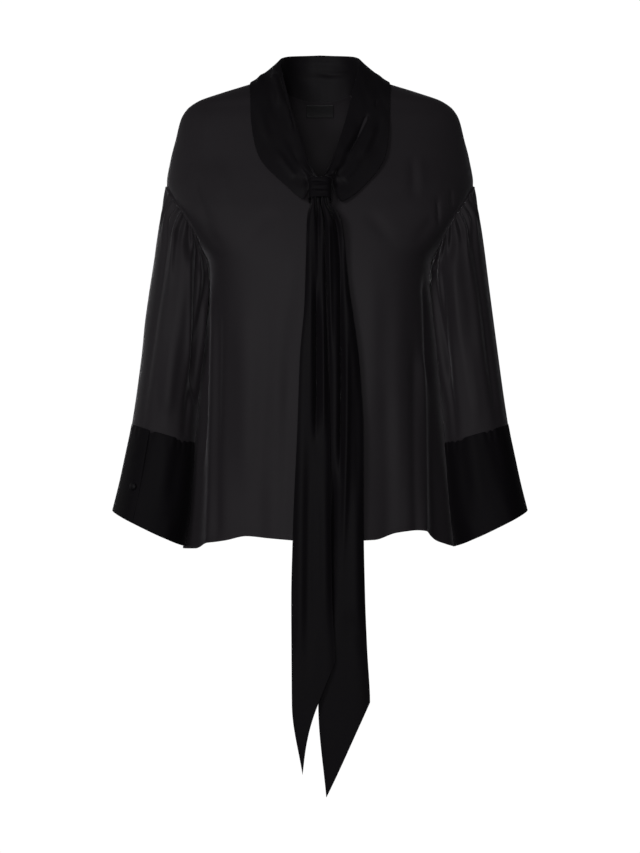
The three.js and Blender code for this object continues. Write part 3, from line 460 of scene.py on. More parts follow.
def crepe(name, colour, sheen, roughness, relief, gloss):
    """Matt crepe: a fine uneven pebble over a plain weave, with a soft sheen at grazing light."""
    material = bpy.data.materials.new(name)
    material.use_nodes = True
    nodes, links = material.node_tree.nodes, material.node_tree.links
    shader = nodes["Principled BSDF"]
    place = nodes.new("ShaderNodeTexCoord")

    def noise(values):
        texture = set_values(nodes.new("ShaderNodeTexNoise"), values)
        links.new(place.outputs["Object"], texture.inputs["Vector"])
        return texture.outputs["Fac"]

    def spread(source, low, high):
        reach = set_values(nodes.new("ShaderNodeMapRange"), NOISE_RANGE | {"To Min": low, "To Max": high})
        links.new(source, reach.inputs["Value"])
        return reach.outputs["Result"]

    def joined(a, b, how):
        both = nodes.new("ShaderNodeMath")
        both.operation = how
        links.new(a, both.inputs[0])
        if isinstance(b, float):
            both.inputs[1].default_value = b
        else:
            links.new(b, both.inputs[1])
        return both.outputs[0]

    def threads(direction):
        weave = set_values(nodes.new("ShaderNodeTexWave"), WAVER | {"Scale": BAND / THREADS[direction]})
        weave.bands_direction = direction
        links.new(place.outputs["UV"], weave.inputs["Vector"])
        return weave.outputs["Fac"]

    pebble, cloud = noise(PEBBLE), noise(CLOUD)
    weave = joined(threads("X"), threads("Y"), "MULTIPLY")
    surface = joined(pebble, joined(weave, WEAVE_SHARE, "MULTIPLY"), "ADD")
    tone = joined(spread(cloud, *CLOUD_TONE), spread(pebble, *PEBBLE_TONE), "MULTIPLY")
    tinted(material, colour, tone, surface, relief, PEBBLE_HEIGHT)
    uneven = spread(pebble, roughness - UNEVEN_GLOSS, roughness + UNEVEN_GLOSS)
    links.new(uneven, shader.inputs["Roughness"])
    set_values(shader, {"Sheen Weight": sheen, "Sheen Roughness": 0.35, "Sheen Tint": SHEEN_TINT})
    set_values(shader, {"Specular IOR Level": gloss})
    return material


def add_piece(name, mesh):
    """A piece made of a mesh. It rides on the part's one body."""
    piece = bpy.data.objects.new(name, mesh)
    scene.collection.objects.link(piece)
    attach(piece, "root")
    return piece


MERGE_WITHIN = 1e-6
SHARP_EDGE = math.radians(60)


def cloth(name, points, material, thickness, inside_out=False, closed=False, parted=None, edge_round=0):
    """A piece of cloth as a thin wall through a grid of points, with a UV map in metres that lies along it.
    Where it is closed its ends meet, and where it is parted the column of that number and the next are joined
    only where their points meet."""
    rows, columns = points.shape[:2]
    points = points * MM
    index = np.arange(rows * columns).reshape(rows, columns)
    corners = np.stack([index[:-1, :-1], index[1:, :-1], index[1:, 1:], index[:-1, 1:]], -1)
    if parted is not None:
        corners = np.delete(corners, parted, axis=1)
    corners = corners.reshape(-1, 4)
    if not inside_out:
        corners = corners[:, ::-1]
    across, down = np.zeros((2, rows, columns))
    across[:, 1:] = np.cumsum(np.linalg.norm(np.diff(points, axis=1), axis=-1), axis=1)
    across -= across[:, columns // 2][:, None]
    down[1:] = np.cumsum(np.linalg.norm(np.diff(points, axis=0), axis=-1), axis=0)
    mesh = bpy.data.meshes.new(name)
    mesh.from_pydata(points.reshape(-1, 3).tolist(), [], corners.tolist())
    flat = np.stack([across.ravel(), -down.ravel()], -1)[corners.ravel()]
    mesh.uv_layers.new(name="cloth").data.foreach_set("uv", flat.astype(np.float32).ravel())
    if closed or parted is not None:
        shell = bmesh.new()
        shell.from_mesh(mesh)
        bmesh.ops.remove_doubles(shell, verts=shell.verts, dist=MERGE_WITHIN)
        shell.to_mesh(mesh)
        shell.free()
    mesh.shade_smooth()
    mesh.materials.append(material)
    piece = add_piece(name, mesh)
    wall = piece.modifiers.new("wall", "SOLIDIFY")
    wall.thickness = thickness * MM
    wall.offset = 0
    if edge_round:
        soft = piece.modifiers.new("soft_edge", "BEVEL")
        soft.width, soft.segments = edge_round * MM, 2
        soft.limit_method, soft.angle_limit = "ANGLE", SHARP_EDGE
        soft.harden_normals, soft.use_clamp_overlap = True, False
    return piece


CREPE_WALL = 0.7
single_crepe = crepe(
    "single_crepe", (0.0128, 0.0106, 0.013), sheen=0.14, roughness=0.7, relief=0.35, gloss=0.22
)
PANELS = {side: panel(side) for side in ("front", "back")}
for side, points in PANELS.items():
    piece = cloth(
        side + "_cloth", points, single_crepe, CREPE_WALL,
        inside_out=side == "back", parted=PANEL_COLUMNS, edge_round=0.2,
    )
    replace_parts(piece, side)

# Sleeves: full sleeves in one layer of the same crepe, gathered into the dropped armholes. They hang a little
# forward, and their long folds run from the gathers down to the cuffs.
HANDS = {"left": 1, "right": -1}  # the wearer's; each side's pieces are drawn on the left
SLEEVE = table(
    "outer_x outer_z inner_x inner_z depth y",
    (236, -190, 158, -292, 70, -4),
    (243, -234, 153, -318, 77, -9),
    (252, -310, 159, -366, 79, -17),
    (262, -390, 168, -428, 77, -24),
    (271, -460, 178, -488, 71, -30),
    (278, -508, 182, -536, 64, -34),
)
SLEEVE_ROUND = 2.3
SLEEVE_COLUMNS, SLEEVE_ROWS = 216, 116
SLEEVE_CROWDING = 1.25
RESTING = 3.2  # how far the cloth stays off the body where it rests on it
ARMHOLE_MIDDLE = (195, 0, -214)


def squarish(angle, power):
    """The cosine and the sine for a ring that is squarer than a circle."""
    return (np.sign(w) * np.abs(w) ** (2 / power) for w in (np.cos(angle), np.sin(angle)))


def middle_and_side(section):
    """The middle of one section of a sleeve or cuff, and the way from there to its outer edge."""
    outer, inner = (np.array([section[end + "_x"], 0, section[end + "_z"]]) for end in ("outer", "inner"))
    return (outer + inner) / 2 + (0, section["y"], 0), (outer - inner) / 2


def around(section, angle, out=0):
    """The points at angles round one section of a sleeve or cuff, moved outwards by a distance."""
    middle, across = middle_and_side(section)
    c, s = squarish(angle, SLEEVE_ROUND)
    wider = c * (1 + out / np.linalg.norm(across))
    return middle + wider[:, None] * across - (s * (section["depth"] + out))[:, None] * np.array([0, 1, 0])


SLOPE_STEP = 0.05
ABOVE_TOP = 50  # how gently the measure grows above the shoulders
PUSHES = 6


def outside(p):
    """How far outside the body's surface points lie, roughly, and the direction straight out of it."""

    def level(q):
        top = np.minimum(q[..., 2], TOP_Z - 0.5)  # just below the top, where the body still has some depth
        front_side = q[..., 1] < 0
        power = np.where(front_side, SHAPE["front"](top), SHAPE["back"](top))
        deep = np.where(front_side, DEPTH["front"](top), DEPTH["back"](top))
        across = (np.abs(q[..., 0]) / half_width(top)) ** power + (np.abs(q[..., 1]) / deep) ** power
        return across ** (1 / power) - 1 + (q[..., 2] - top) / ABOVE_TOP

    here = level(p)
    uphill = np.stack([(level(p + SLOPE_STEP * axis) - here) / SLOPE_STEP for axis in np.eye(3)], -1)
    steepness = np.linalg.norm(uphill, axis=-1, keepdims=True)
    return here / steepness[..., 0], uphill / steepness


def clear_of_body(p, clearance):
    """The points moved out of the body, where they must be, until they clear its cloth."""
    for _ in range(PUSHES):
        distance, uphill = outside(p)
        short = clearance + np.maximum(0, fold_depth(p)) - distance
        p = p + uphill * np.maximum(0, short)[..., None]
    return p


# Gathers at the sleeve's head. The angle runs from the outer edge (0) over the front (90) to the underarm
# (180) and up the back. length is the share of the sleeve over which the gather fades.
GATHERS = table(
    "angle width depth length",
    (4, 4, 2.2, 0.2), (15, 4, -2.4, 0.26), (24, 4, 2.8, 0.34), (33, 3.5, -3, 0.3),
    (41, 3.5, 2.6, 0.42), (49, 3, -3.2, 0.24), (56, 3, 3, 0.3), (63, 3, -3, 0.4),
    (70, 3.5, 3.2, 0.5), (78, 3.5, -2.8, 0.3), (86, 3.5, 2.8, 0.36), (95, 4, -3, 0.42),
    (103, 3.5, 2.6, 0.26), (111, 4, -2.6, 0.36), (120, 4, 3.2, 0.5), (131, 4.5, -3, 0.5),
    (142, 4, 2, 0.24), (216, 5, -2.2, 0.3), (228, 4, 2.6, 0.36), (238, 4, -2.8, 0.28),
    (247, 4, 2.8, 0.44), (256, 4, -2.8, 0.34), (266, 4, 3, 0.3), (275, 4, -2.6, 0.46),
    (284, 4, 2.8, 0.3), (294, 4, -3, 0.36), (303, 4, 2.6, 0.26), (313, 4, -2.6, 0.4),
    (323, 4, 2.6, 0.3), (333, 4, -2.4, 0.24), (343, 4, 2.2, 0.3), (353, 4, -2, 0.2),
)
# Long folds down the sleeve, on the same angles.
SLEEVE_FOLDS = table(
    "angle width depth top bottom",
    (55, 9, -5, 0.08, 0.8), (92, 9, 4, 0.1, 1), (128, 8, -8, 0.05, 0.85), (210, 9, 3, 0.2, 1),
    (246, 9, -5, 0.1, 0.9), (285, 10, 4, 0.1, 0.9), (320, 9, -4, 0.1, 0.8),
)
# Creases of the sleeves' front halves, placed as on the wearer's left sleeve and seen from the front. The
# wearer's right sleeve has a deep fold beside the body.
SLEEVE_CREASES = {}
SLEEVE_CREASES[1] = creases(
    (196, -250, 206, -420, -3, 7, 3, 0.3, 0.4, 1.6), (176, -262, 186, -470, 2, 6, -7, 0.25, 0.2, 1.6),
    (222, -240, 236, -430, 3, 9, 2), (212, -330, 226, -500, -3, 8, -1.8, 0.4, 0.3),
    (240, -330, 254, -500, 2, 8, -1.6, 0.4, 0.3),
)
SLEEVE_CREASES[-1] = creases(
    (190, -222, 191, -480, -2, 4.5, 5, 0.25, 0.35, 1.5), (180, -226, 184, -486, 1, 4.5, -11, 0.2, 0.15, 1.6),
    (230, -300, 238, -500, 0, 16, 4.5, 0.45), (168, -285, 170, -500, 1, 4, 2.2, 0.3, 0.1, 1.6),
    (216, -210, 222, -330, -2, 5, 2.4, 0.2, 0.5, 1.6), (208, -214, 210, -300, 2, 5, -2.2, 0.2, 0.5, 1.6),
    (230, -330, 238, -500, 2, 9, -2.2, 0.4, 0.3), (214, -360, 222, -500, -2, 9, 2, 0.4, 0.2),
    (246, -250, 258, -420, 3, 7, 1.8),
)
# Creases of their back halves, on the same coordinates.
SLEEVE_BACK_CREASES = creases(
    (196, -236, 212, -430, 3, 7, -3, 0.25, 0.4, 1.8), (214, -216, 232, -460, -3, 8, 2.4, 0.3),
    (182, -290, 196, -500, 3, 7, 2.4, 0.4, 0.2), (236, -260, 250, -470, 2, 8, -2, 0.4, 0.3),
)
SEAM_SHARE = 0.02  # the share of the sleeve over which its folds rise from the seam
GATHER_HOLDS = 0.3  # the share of a gather that keeps its full depth
FOLD_FADE = 0.25  # the share of the sleeve over which a long fold rises, and is drawn in again
DRAWN_IN = {"fold": 0.75, "all": 0.6, "from": 0.965}  # how much of a fold's depth the cuff takes
SIDE_FADE = 12  # degrees over which creases fade at the sleeve's outer and inner edges
SEAM_STEP = 0.1  # how far out along the arm the sleeve's edge meets the panels' edge
ALLOWANCE, TURNED_IN = 4.5, 1.2  # how far its seam allowance reaches in behind the panels, and how deep
CUFF_ALLOWANCE = {"down": 7, "in": 1.5}  # how far its lower edge reaches down into the cuff, and inside it
PUFF = 2.4  # how far the gathered cloth swells out beside the seam
PUFF_FADE = {"along": (0.02, 0.16), "underarm": (10, 50), "outer": {"angle": 0, "width": 24}, "less": 0.8}
AT_SEAM, CLEAR_FROM = 2, 0.3  # its distance from the body at the seam, and the share where it is free of it


def sleeve(hand):
    """A sleeve's points for the wearer's left (1) or right (-1), drawn on the left, in closed rows."""
    angle = np.linspace(0, 2 * math.pi, SLEEVE_COLUMNS + 1)
    share = np.where(angle <= math.pi, angle, 2 * math.pi - angle) / math.pi
    flat = evenly(ARMHOLE, share)

    def on_armhole(inwards):
        x, z = flat[:, 0] - inwards, flat[:, 1]
        return np.where((angle <= math.pi)[:, None], on_body("front", x, z), on_body("back", x, z))

    ring = on_armhole(0) + (SEAM_STEP, 0, 0)
    sections = list(rows_of(SLEEVE))
    down = np.linspace(0, 1, SLEEVE_ROWS + 1) ** SLEEVE_CROWDING
    points = path_through([ring] + [around(s, angle) for s in sections])(down)
    middles = path_through([ARMHOLE_MIDDLE] + [middle_and_side(s)[0] for s in sections])(down)
    out = points - middles[:, None]
    out /= np.linalg.norm(out, axis=-1, keepdims=True)
    degrees = np.degrees(angle)
    moved = np.zeros(points.shape[:2])
    for g in rows_of(GATHERS):
        fade = ramp(down, 0, SEAM_SHARE) * (1 - ramp(down, GATHER_HOLDS * g["length"], g["length"]))
        moved += g["depth"] * np.outer(fade, swell(degrees, g))
    for f in rows_of(SLEEVE_FOLDS):
        drawn_in = 1 - DRAWN_IN["fold"] * ramp(down, f["bottom"] - FOLD_FADE, 1)
        moved += f["depth"] * np.outer(ramp(down, 0, f["top"] + FOLD_FADE) * drawn_in, swell(degrees, f))
    seen_flat = points[..., [0, 2]]
    for start, rows in ((0, SLEEVE_CREASES[hand]), (180, SLEEVE_BACK_CREASES)):
        last = start + 180
        half = ramp(degrees, start, start + SIDE_FADE) * (1 - ramp(degrees, last - SIDE_FADE, last))
        moved += creased(seen_flat, rows) * half
    full = ramp(np.abs(degrees - 180), *PUFF_FADE["underarm"])
    full = full * (1 - PUFF_FADE["less"] * swell(degrees, PUFF_FADE["outer"]))
    moved += PUFF * np.outer(1 - ramp(down, *PUFF_FADE["along"]), full)
    moved *= (ramp(down, 0, SEAM_SHARE) * (1 - DRAWN_IN["all"] * ramp(down, DRAWN_IN["from"], 1)))[:, None]
    points = points + out * moved[..., None]
    clearance = AT_SEAM + (RESTING - AT_SEAM) * np.minimum(1, down[:, None] / CLEAR_FROM)
    points[1:] = clear_of_body(points[1:], clearance[1:])
    turned_in = on_armhole(ALLOWANCE)
    y = turned_in[:, 1]
    turned_in[:, 1] = y - TURNED_IN * np.sign(y) * (np.abs(y) > 2)  # but not at the very top and bottom
    last, before = sections[-1], sections[-2]
    run = np.array([last[name] - before[name] for name in SLEEVE])
    run *= CUFF_ALLOWANCE["down"] / np.linalg.norm(run[:2])  # as long down the outer edge
    lower = {name: last[name] + step for name, step in zip(SLEEVE, run)}
    in_cuff = clear_of_body(around(lower, angle, -CUFF_ALLOWANCE["in"]), RESTING - CUFF_ALLOWANCE["in"])
    return np.concatenate([turned_in[None], points, in_cuff[None]])


for side, hand in HANDS.items():
    piece = cloth(
        "sleeve_" + side + "_cloth", sleeve(hand) * (hand, 1, 1), single_crepe, CREPE_WALL,
        inside_out=hand < 0, closed=True,
    )
    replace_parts(piece, "sleeve_" + side)

# Cuffs: deep flared bands of doubled crepe, sewn to the sleeves and lapped where one covered button closes
# them. The right cuff closes at its front, as shown. The left shows no button there and closes at its back.
CUFF = table(
    "share outer_x outer_z inner_x inner_z depth y",
    (0, 278, -508, 182, -536, 64, -34),
    (0.333, 287, -551, 185, -586, 67, -37),
    (0.667, 296, -594, 189, -639, 70, -40),
    (1, 306, -635, 197, -688, 73, -43),
)
CUFF_COLUMNS, CUFF_ROWS = 190, 46
LAP = 10  # half of the lap, in degrees
LAP_RISE = 1.5  # how far the upper end rises onto the lower one
RISE_FROM, RISE_TO = math.radians(50), math.radians(8)  # how long before the full turn it rises
CUFF_DROP = 0.5  # how far the cuff hangs below the sleeve
BACK_CREASE_SHARE = 0.7
# Puckers along the seam to the sleeve.
PUCKER = {"depth": 0.5, "waves": 23, "sway": 2, "sways": 5, "rise": (-0.05, 0.03), "fade": (0, 0.18)}
FREE_END = 0.35  # radians over which the creases fade towards each end
DOUBLED_WALL = 1.2
OPENINGS = {1: -62, -1: 62}
CUFF_CREASES = creases(
    (200, -530, 214, -650, 4, 9, -1.8, 0, 0.5), (224, -524, 238, -640, -3, 10, 1.8, 0, 0.5),
    (246, -518, 262, -600, 3, 9, -1.4, 0, 0.6), (212, -640, 224, -682, 2, 8, 1.4, 0.5, 0),
    (262, -590, 280, -650, -3, 9, 1.2, 0.5, 0),
)


def cuff_section(share):
    """The measures of a cuff at a share of the way down it."""
    return {name: float(smooth(CUFF, "share", name)(share)) for name in CUFF if name != "share"}


def cuff(opening):
    """A cuff's points, drawn on the wearer's left, from its lower end to the end that laps over it."""
    turned = np.linspace(0, 2 * math.pi + 2 * math.radians(LAP), CUFF_COLUMNS + 1)
    angle = math.radians(opening - LAP) + turned
    over = LAP_RISE * ramp(turned, 2 * math.pi - RISE_FROM, 2 * math.pi - RISE_TO)
    rows = []
    for share in np.linspace(0, 1, CUFF_ROWS + 1):
        section = cuff_section(share)
        rows.append(clear_of_body(around(section, angle, over), RESTING + over))
    points = np.stack(rows) - np.array([0, 0, CUFF_DROP])
    out = directions(points)
    moved = creased(points[..., [0, 2]], CUFF_CREASES) * np.where(out[..., 1] < 0, 1, BACK_CREASE_SHARE)
    down = np.linspace(0, 1, CUFF_ROWS + 1)[:, None]
    waves = np.sin(PUCKER["waves"] * turned + PUCKER["sway"] * np.sin(PUCKER["sways"] * turned))
    pucker = PUCKER["depth"] * waves * (1 - ramp(down, *PUCKER["fade"])) * ramp(down, *PUCKER["rise"])
    free = ramp(turned, 0, FREE_END) * (1 - ramp(turned, turned[-1] - FREE_END, turned[-1]))
    return points + out * ((moved + pucker) * free)[..., None]


# The doubled crepe of the collar with its colour darkened: painted shade on the cuffs and the keeper.
shade_painted_crepe = crepe("shade_painted_crepe", (0.003, 0.0024, 0.0034), sheen=0.03, roughness=0.7, relief=0.3, gloss=0.08)
DOUBLED_ROUND = 0.4  # how round the folded edges of doubled crepe are
for side, hand in HANDS.items():
    piece = cloth(
        "cuff_" + side + "_cloth", cuff(OPENINGS[hand]) * (hand, 1, 1), shade_painted_crepe,
        DOUBLED_WALL, inside_out=hand < 0, edge_round=DOUBLED_ROUND,
    )
    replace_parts(piece, "cuff_" + side)

# Cuff buttons: low domes covered in the blouse's own crepe, 11 mm across. Each stands where the CAD button
# stands, and the cloth is drawn in under the rim.
BUTTON = table(
    "reach height",
    (0, 0),
    (4.3, 0),
    (5.1, 0.5),
    (5.5, 1.3),
    (5.3, 2.2),
    (4.5, 3.1),
    (3.1, 3.8),
    (1.5, 4.15),
    (0, 4.2),
)
BUTTON_SHARE = 0.63  # how far down the cuff it is sewn
BUTTON_STEPS, BUTTON_RINGS = 40, 33
NEARBY = 0.05  # a short way down the cuff and round it, which tells how the cloth faces
LAP_TOP, SHANK = 2.1, 1.2  # how far out the lap's outer face is, and how far off it the button stands
RIPPLE = {"depth": 0.012, "waves": 8, "from": 3, "to": 1}  # where the cover is drawn in
# The buttons' crepe is as dark as the cuffs' darkened crepe: painted shade.
shade_painted_button_crepe = crepe(
    "shade_painted_button_crepe", (0.003, 0.0025, 0.0034), sheen=0.04, roughness=0.6, relief=0.25, gloss=0.12
)


def covered_button(side, hand):
    """A closed dome on the lap of one cuff."""
    section, below = cuff_section(BUTTON_SHARE), cuff_section(BUTTON_SHARE + NEARBY)
    near = np.radians(OPENINGS[hand]) + np.array([-NEARBY, 0, NEARBY])
    ring = around(section, near)
    facing = np.cross(ring[2] - ring[0], around(below, near)[1] - ring[1]) * (hand, 1, 1)
    facing /= np.linalg.norm(facing)
    place = around(section, near, LAP_TOP)[1] * (hand, 1, 1) + SHANK * facing
    right = np.cross(facing, (0, 0, 1))
    right /= np.linalg.norm(right)
    rise = np.cross(right, facing)
    turn = np.linspace(0, 2 * math.pi, BUTTON_STEPS, endpoint=False)
    profile = path_through(np.stack([BUTTON["reach"], BUTTON["height"]], -1))(np.linspace(0, 1, BUTTON_RINGS))
    shell = bmesh.new()
    rings = []
    for reach, height in profile[1:-1]:
        ripple = RIPPLE["depth"] * np.sin(RIPPLE["waves"] * turn) * ramp(height, RIPPLE["from"], RIPPLE["to"])
        x, y = ((reach * (1 + ripple) * w)[:, None] for w in (np.cos(turn), np.sin(turn)))
        spots = place + x * right + y * rise
        rings.append([shell.verts.new((spot + height * facing) * MM) for spot in spots])
    foot = shell.verts.new(place * MM)
    crown = shell.verts.new((place + profile[-1][1] * facing) * MM)
    for k in range(BUTTON_STEPS):
        n = (k + 1) % BUTTON_STEPS
        shell.faces.new((foot, rings[0][n], rings[0][k]))
        shell.faces.new((crown, rings[-1][k], rings[-1][n]))
        for low, high in zip(rings, rings[1:]):
            shell.faces.new((low[k], low[n], high[n], high[k]))
    bmesh.ops.recalc_face_normals(shell, faces=shell.faces)
    mesh = bpy.data.meshes.new("covered_button_" + side)
    shell.to_mesh(mesh)
    shell.free()
    mesh.shade_smooth()
    mesh.materials.append(shade_painted_button_crepe)
    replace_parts(add_piece("covered_button_" + side, mesh), "cuff_button_" + side)


for side, hand in HANDS.items():
    covered_button(side, hand)

# Collar: a scarf collar of doubled crepe, sewn to the neckline. It stands up inside the neck, rolls over at
# the top and falls outside to a loose edge, and below the chest it is drawn together into the keeper.
ROLL = table(
    "x y z bulge",
    (0, 64, 55, 6),
    (30, 56, 53, 6),
    (51, 36, 48, 4),
    (60, 12, 38, 0),
    (56, -12, 14, 1),
    (48, -38, -20, 4),
    (40, -61, -56, 6),
    (31, -84, -92, 6),
    (21, -103, -122, 5),
    (12, -115, -146, 4),
)
# The loose edge hangs lower on the wearer's left (1) than on the wearer's right (-1).
EDGE_BEHIND = [(0, 77, -26), (40, 66, -24), (76, 44, -14), (101, 7, 5), (103, -38, -31)]
EDGE = {
    1: [(101, -72, -80), (91, -95, -128), (56, -114, -171), (31, -125, -187), (19.5, -130, -181)],
    -1: [(100, -68, -75), (87, -93, -123), (51, -115, -162), (26, -126, -184), (19.5, -129, -180)],
}
COLLAR_LENGTH_STEPS, COLLAR_STEPS = 22, 10  # steps of the form worked out first, as in the CAD model
COLLAR_FINER = 7  # how many steps each of them is then parted into
STAND_SHARE = 0.4
COLLAR_CROWDING = 1.5
COLLAR_CLEAR = 2.2
KEEPER_SIDE = {"x": 18.8, "below": (150, 157)}  # beside the keeper, the fall stays this far from the centre
GATHER_FROM = {"roll": 0.62, "edge": 0.9}  # where along the collar it starts to be drawn together
BUNCH = {"left": 1.6, "right": 11.8, "front": -125, "back": -112.5, "top": -151, "bottom": -160, "folds": 5}
NAPE = {"slope": 0.27, "round": 14, "reach": 45, "behind": 30}  # rounds it where its halves meet at the back
NECK_SEAM = {"gap": 1.2, "side": 0.33, "last": 0.9, "tucked": 2.4, "behind": 1.3, "untucked": 0.2}
NEAR_SHARE = 0.01
FALL_FADE = {"roll": (-0.06, 0.02), "keeper": 0.93, "less": 0.8, "behind": (-32, -4)}
STAND_FADE = {"roll": (0.28, 0.4), "seam": (0.02, 0.12), "last": 0.34}


def neck_seam(share):
    """The neck seam at shares of the way from the centre back to the keeper. At the back it is tucked in
    behind the panel, and at the front it lies a little into the neck opening."""
    seams = []
    for side in ("back", "front"):
        line = evenly(path_through(NECKLINE[side])(FINE), FINE)
        if side == "back":
            along = np.clip(1 - share / NECK_SEAM["side"], 0, 1)
        else:
            along = np.clip((share - NECK_SEAM["side"]) / (1 - NECK_SEAM["side"]), 0, NECK_SEAM["last"])
        spots = np.stack([np.interp(along, FINE, c) for c in line.T], -1)
        before, after = along - NEAR_SHARE, along + NEAR_SHARE
        ahead = np.stack([np.interp(after, FINE, c) - np.interp(before, FINE, c) for c in line.T], -1)
        ahead /= np.linalg.norm(ahead, axis=-1, keepdims=True)
        inwards = np.stack([ahead[:, 1], -ahead[:, 0]], -1)
        inwards *= np.where(inwards[:, :1] > 0, -1, 1)
        tucked = 1 - ramp(share, NECK_SEAM["untucked"], NECK_SEAM["side"])[:, None]
        spots = spots + inwards * (NECK_SEAM["gap"] - (NECK_SEAM["gap"] + NECK_SEAM["tucked"]) * tucked)
        seams.append(on_body(side, spots[:, 0], spots[:, 1]) + tucked * (0, NECK_SEAM["behind"], 0))
    return np.where((share <= NECK_SEAM["side"])[:, None], seams[0], seams[1])


def bunched(v, z):
    """The collar's end, folded to and fro to pass through the keeper."""
    swing = 0.5 - 0.5 * np.cos(v * BUNCH["folds"] * math.pi)
    x = BUNCH["left"] + (BUNCH["right"] - BUNCH["left"]) * v
    return np.stack([x, BUNCH["back"] + (BUNCH["front"] - BUNCH["back"]) * swing, z + 0 * v], -1)


# Creases of the collar's fall, as seen from the front: on the wearer's left, and mirrored on the right.
COLLAR_CREASES = {}
COLLAR_CREASES[1] = creases(
    (71, -50, 38, -117, 2, 2.6, 5.6, 0.15, 0.2, 1.5), (55, -64, 27, -120, 2, 5, -2.4, 0.3, 0.3, 1.7),
    (81, -62, 50, -132, 4, 6, -3, 0.3, 0.4, 1.8), (84, -26, 82, -43, 0, 2, 1.8, 0.4, 0.4, 1.6),
    (92, -50, 66, -128, 5, 7, 2), (30, -128, 23, -178, -2, 4.5, 3, 0.3, 0.3, 1.8),
    (44, -104, 24, -150, 3, 5, 2.2, 0.4, 0.1, 1.6), (36, -100, 17, -148, 3, 4, -2.4, 0.4, 0.1, 1.6),
    (60, -116, 32, -156, 3, 5, -2, 0.4, 0.1, 1.8),
)
COLLAR_CREASES[-1] = creases(
    (70, 22, 60, -44, -2, 7, -6.5, 0.25, 0.5, 1.8), (59, 14, 36, -84, -2, 2.3, 5.6, 0.1, 0.3, 1.5),
    (52, -28, 40, -82, -2, 3.5, -3.4, 0.3, 0.4, 1.7), (22, -140, 17, -182, -1, 3.5, 2.6, 0.3, 0.3, 1.8),
    (72, 0, 60, -70, 3, 8, 1.8), (88, -30, 70, -104, 5, 7, -1.8),
    (48, -76, 26, -140, 3, 8, 2.4, 0.4, 0.3), (64, -104, 34, -152, 3, 5, -2.2, 0.4, 0.1, 1.8),
    (40, -104, 20, -150, 2, 4, 1.8, 0.4, 0.1, 1.6),
)
STAND_FOLDS = creases(
    (-46, 42, 44, 38, 3, 4, -2.4, 0.3, 0.3, 1.6), (-10, 30, 50, 26, -2, 3.5, 2.2, 0.4, 0.3, 1.6),
    (-40, 20, 40, 14, 2, 5, -1.6),
)


def finer(points, steps):
    """A grid of points with each of its steps parted into more, both ways, on smooth curves."""
    for _ in range(2):
        shares = np.linspace(0, 1, (len(points) - 1) * steps + 1)
        points = path_through(points)(shares).swapaxes(0, 1)
    return points


def collar_half(hand):
    """Half of the collar, drawn on the wearer's left, in rows from the seam over the roll to the edge."""
    share = 1 - (1 - np.linspace(0, 1, COLLAR_LENGTH_STEPS + 1)) ** COLLAR_CROWDING
    v = np.linspace(0, 1, COLLAR_STEPS + 1)[None, :, None]
    roll = path_through(np.stack([ROLL[n] for n in "xyz"], -1))(share)[:, None]
    edge = path_through(EDGE_BEHIND + EDGE[hand])(share)[:, None]
    bulge_rows = {"share": np.linspace(0, 1, len(ROLL["x"])), "bulge": ROLL["bulge"]}
    bulge = smooth(bulge_rows, "share", "bulge")(share)[:, None, None]
    seam = neck_seam(share)[:, None]
    up = v / STAND_SHARE
    t = np.clip((v - STAND_SHARE) / (1 - STAND_SHARE), 0, 1)
    out = edge - seam
    out /= np.linalg.norm(out, axis=-1, keepdims=True)
    stand = seam + (roll - seam) * up
    fall = roll + (edge - roll) * t + out * bulge * np.sin(math.pi * np.sqrt(t))
    rolled = np.where(v <= STAND_SHARE, stand, fall)
    start = GATHER_FROM["roll"] + (GATHER_FROM["edge"] - GATHER_FROM["roll"]) * t**2
    drawn_in = ramp((share[:, None, None] - start) / (1 - start), 0, 1)
    end = bunched(v[0, :, 0], BUNCH["top"])[None]
    points = rolled + (end - rolled) * drawn_in
    loose = v[0, :, 0] > STAND_SHARE
    points[:, loose] = clear_of_body(points[:, loose], COLLAR_CLEAR)
    beside = ramp(-points[..., 2], *KEEPER_SIDE["below"]) * loose
    points[..., 0] = np.maximum(points[..., 0], beside * KEEPER_SIDE["x"])
    x = points[..., 0]
    rounder = NAPE["slope"] * (x - np.hypot(x, NAPE["round"]) + NAPE["round"])
    rounder = rounder * np.exp(-((x / NAPE["reach"]) ** 2)) * ramp(points[..., 1], 0, NAPE["behind"])
    points[..., 1] += rounder * ramp(v[..., 0], 0, 0.3)  # none at the seam
    tail_end = [bunched(v[0, :, 0], z) for z in np.linspace(BUNCH["top"], BUNCH["bottom"], 3)[1:]]
    points = finer(np.concatenate([points, np.stack(tail_end)]), COLLAR_FINER)
    share = np.interp(np.arange(len(points)) / COLLAR_FINER, np.arange(len(share)), share)
    v = np.linspace(0, 1, points.shape[1])[None]
    falling = ramp(v - STAND_SHARE, *FALL_FADE["roll"]) * ramp(-points[..., 1], *FALL_FADE["behind"])
    falling = falling * (1 - FALL_FADE["less"] * ramp(share, FALL_FADE["keeper"], 1))[:, None]
    standing = (1 - ramp(v, *STAND_FADE["roll"])) * ramp(v, *STAND_FADE["seam"])
    standing = standing * (share < STAND_FADE["last"])[:, None]
    flat = points[..., [0, 2]]
    moved = creased(flat, COLLAR_CREASES[hand]) * falling
    moved += creased(flat * (hand, 1), STAND_FOLDS) * standing
    return points + directions(points) * moved[..., None]


doubled_crepe = crepe(
    "doubled_crepe", (0.0044, 0.0036, 0.0048), sheen=0.05, roughness=0.66, relief=0.3, gloss=0.13
)
both_halves = np.concatenate([(collar_half(-1)[1:] * (-1, 1, 1))[::-1], collar_half(1)])
collar = cloth(
    "collar_cloth", both_halves, doubled_crepe, DOUBLED_WALL, edge_round=DOUBLED_ROUND
)
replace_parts(collar, "collar")

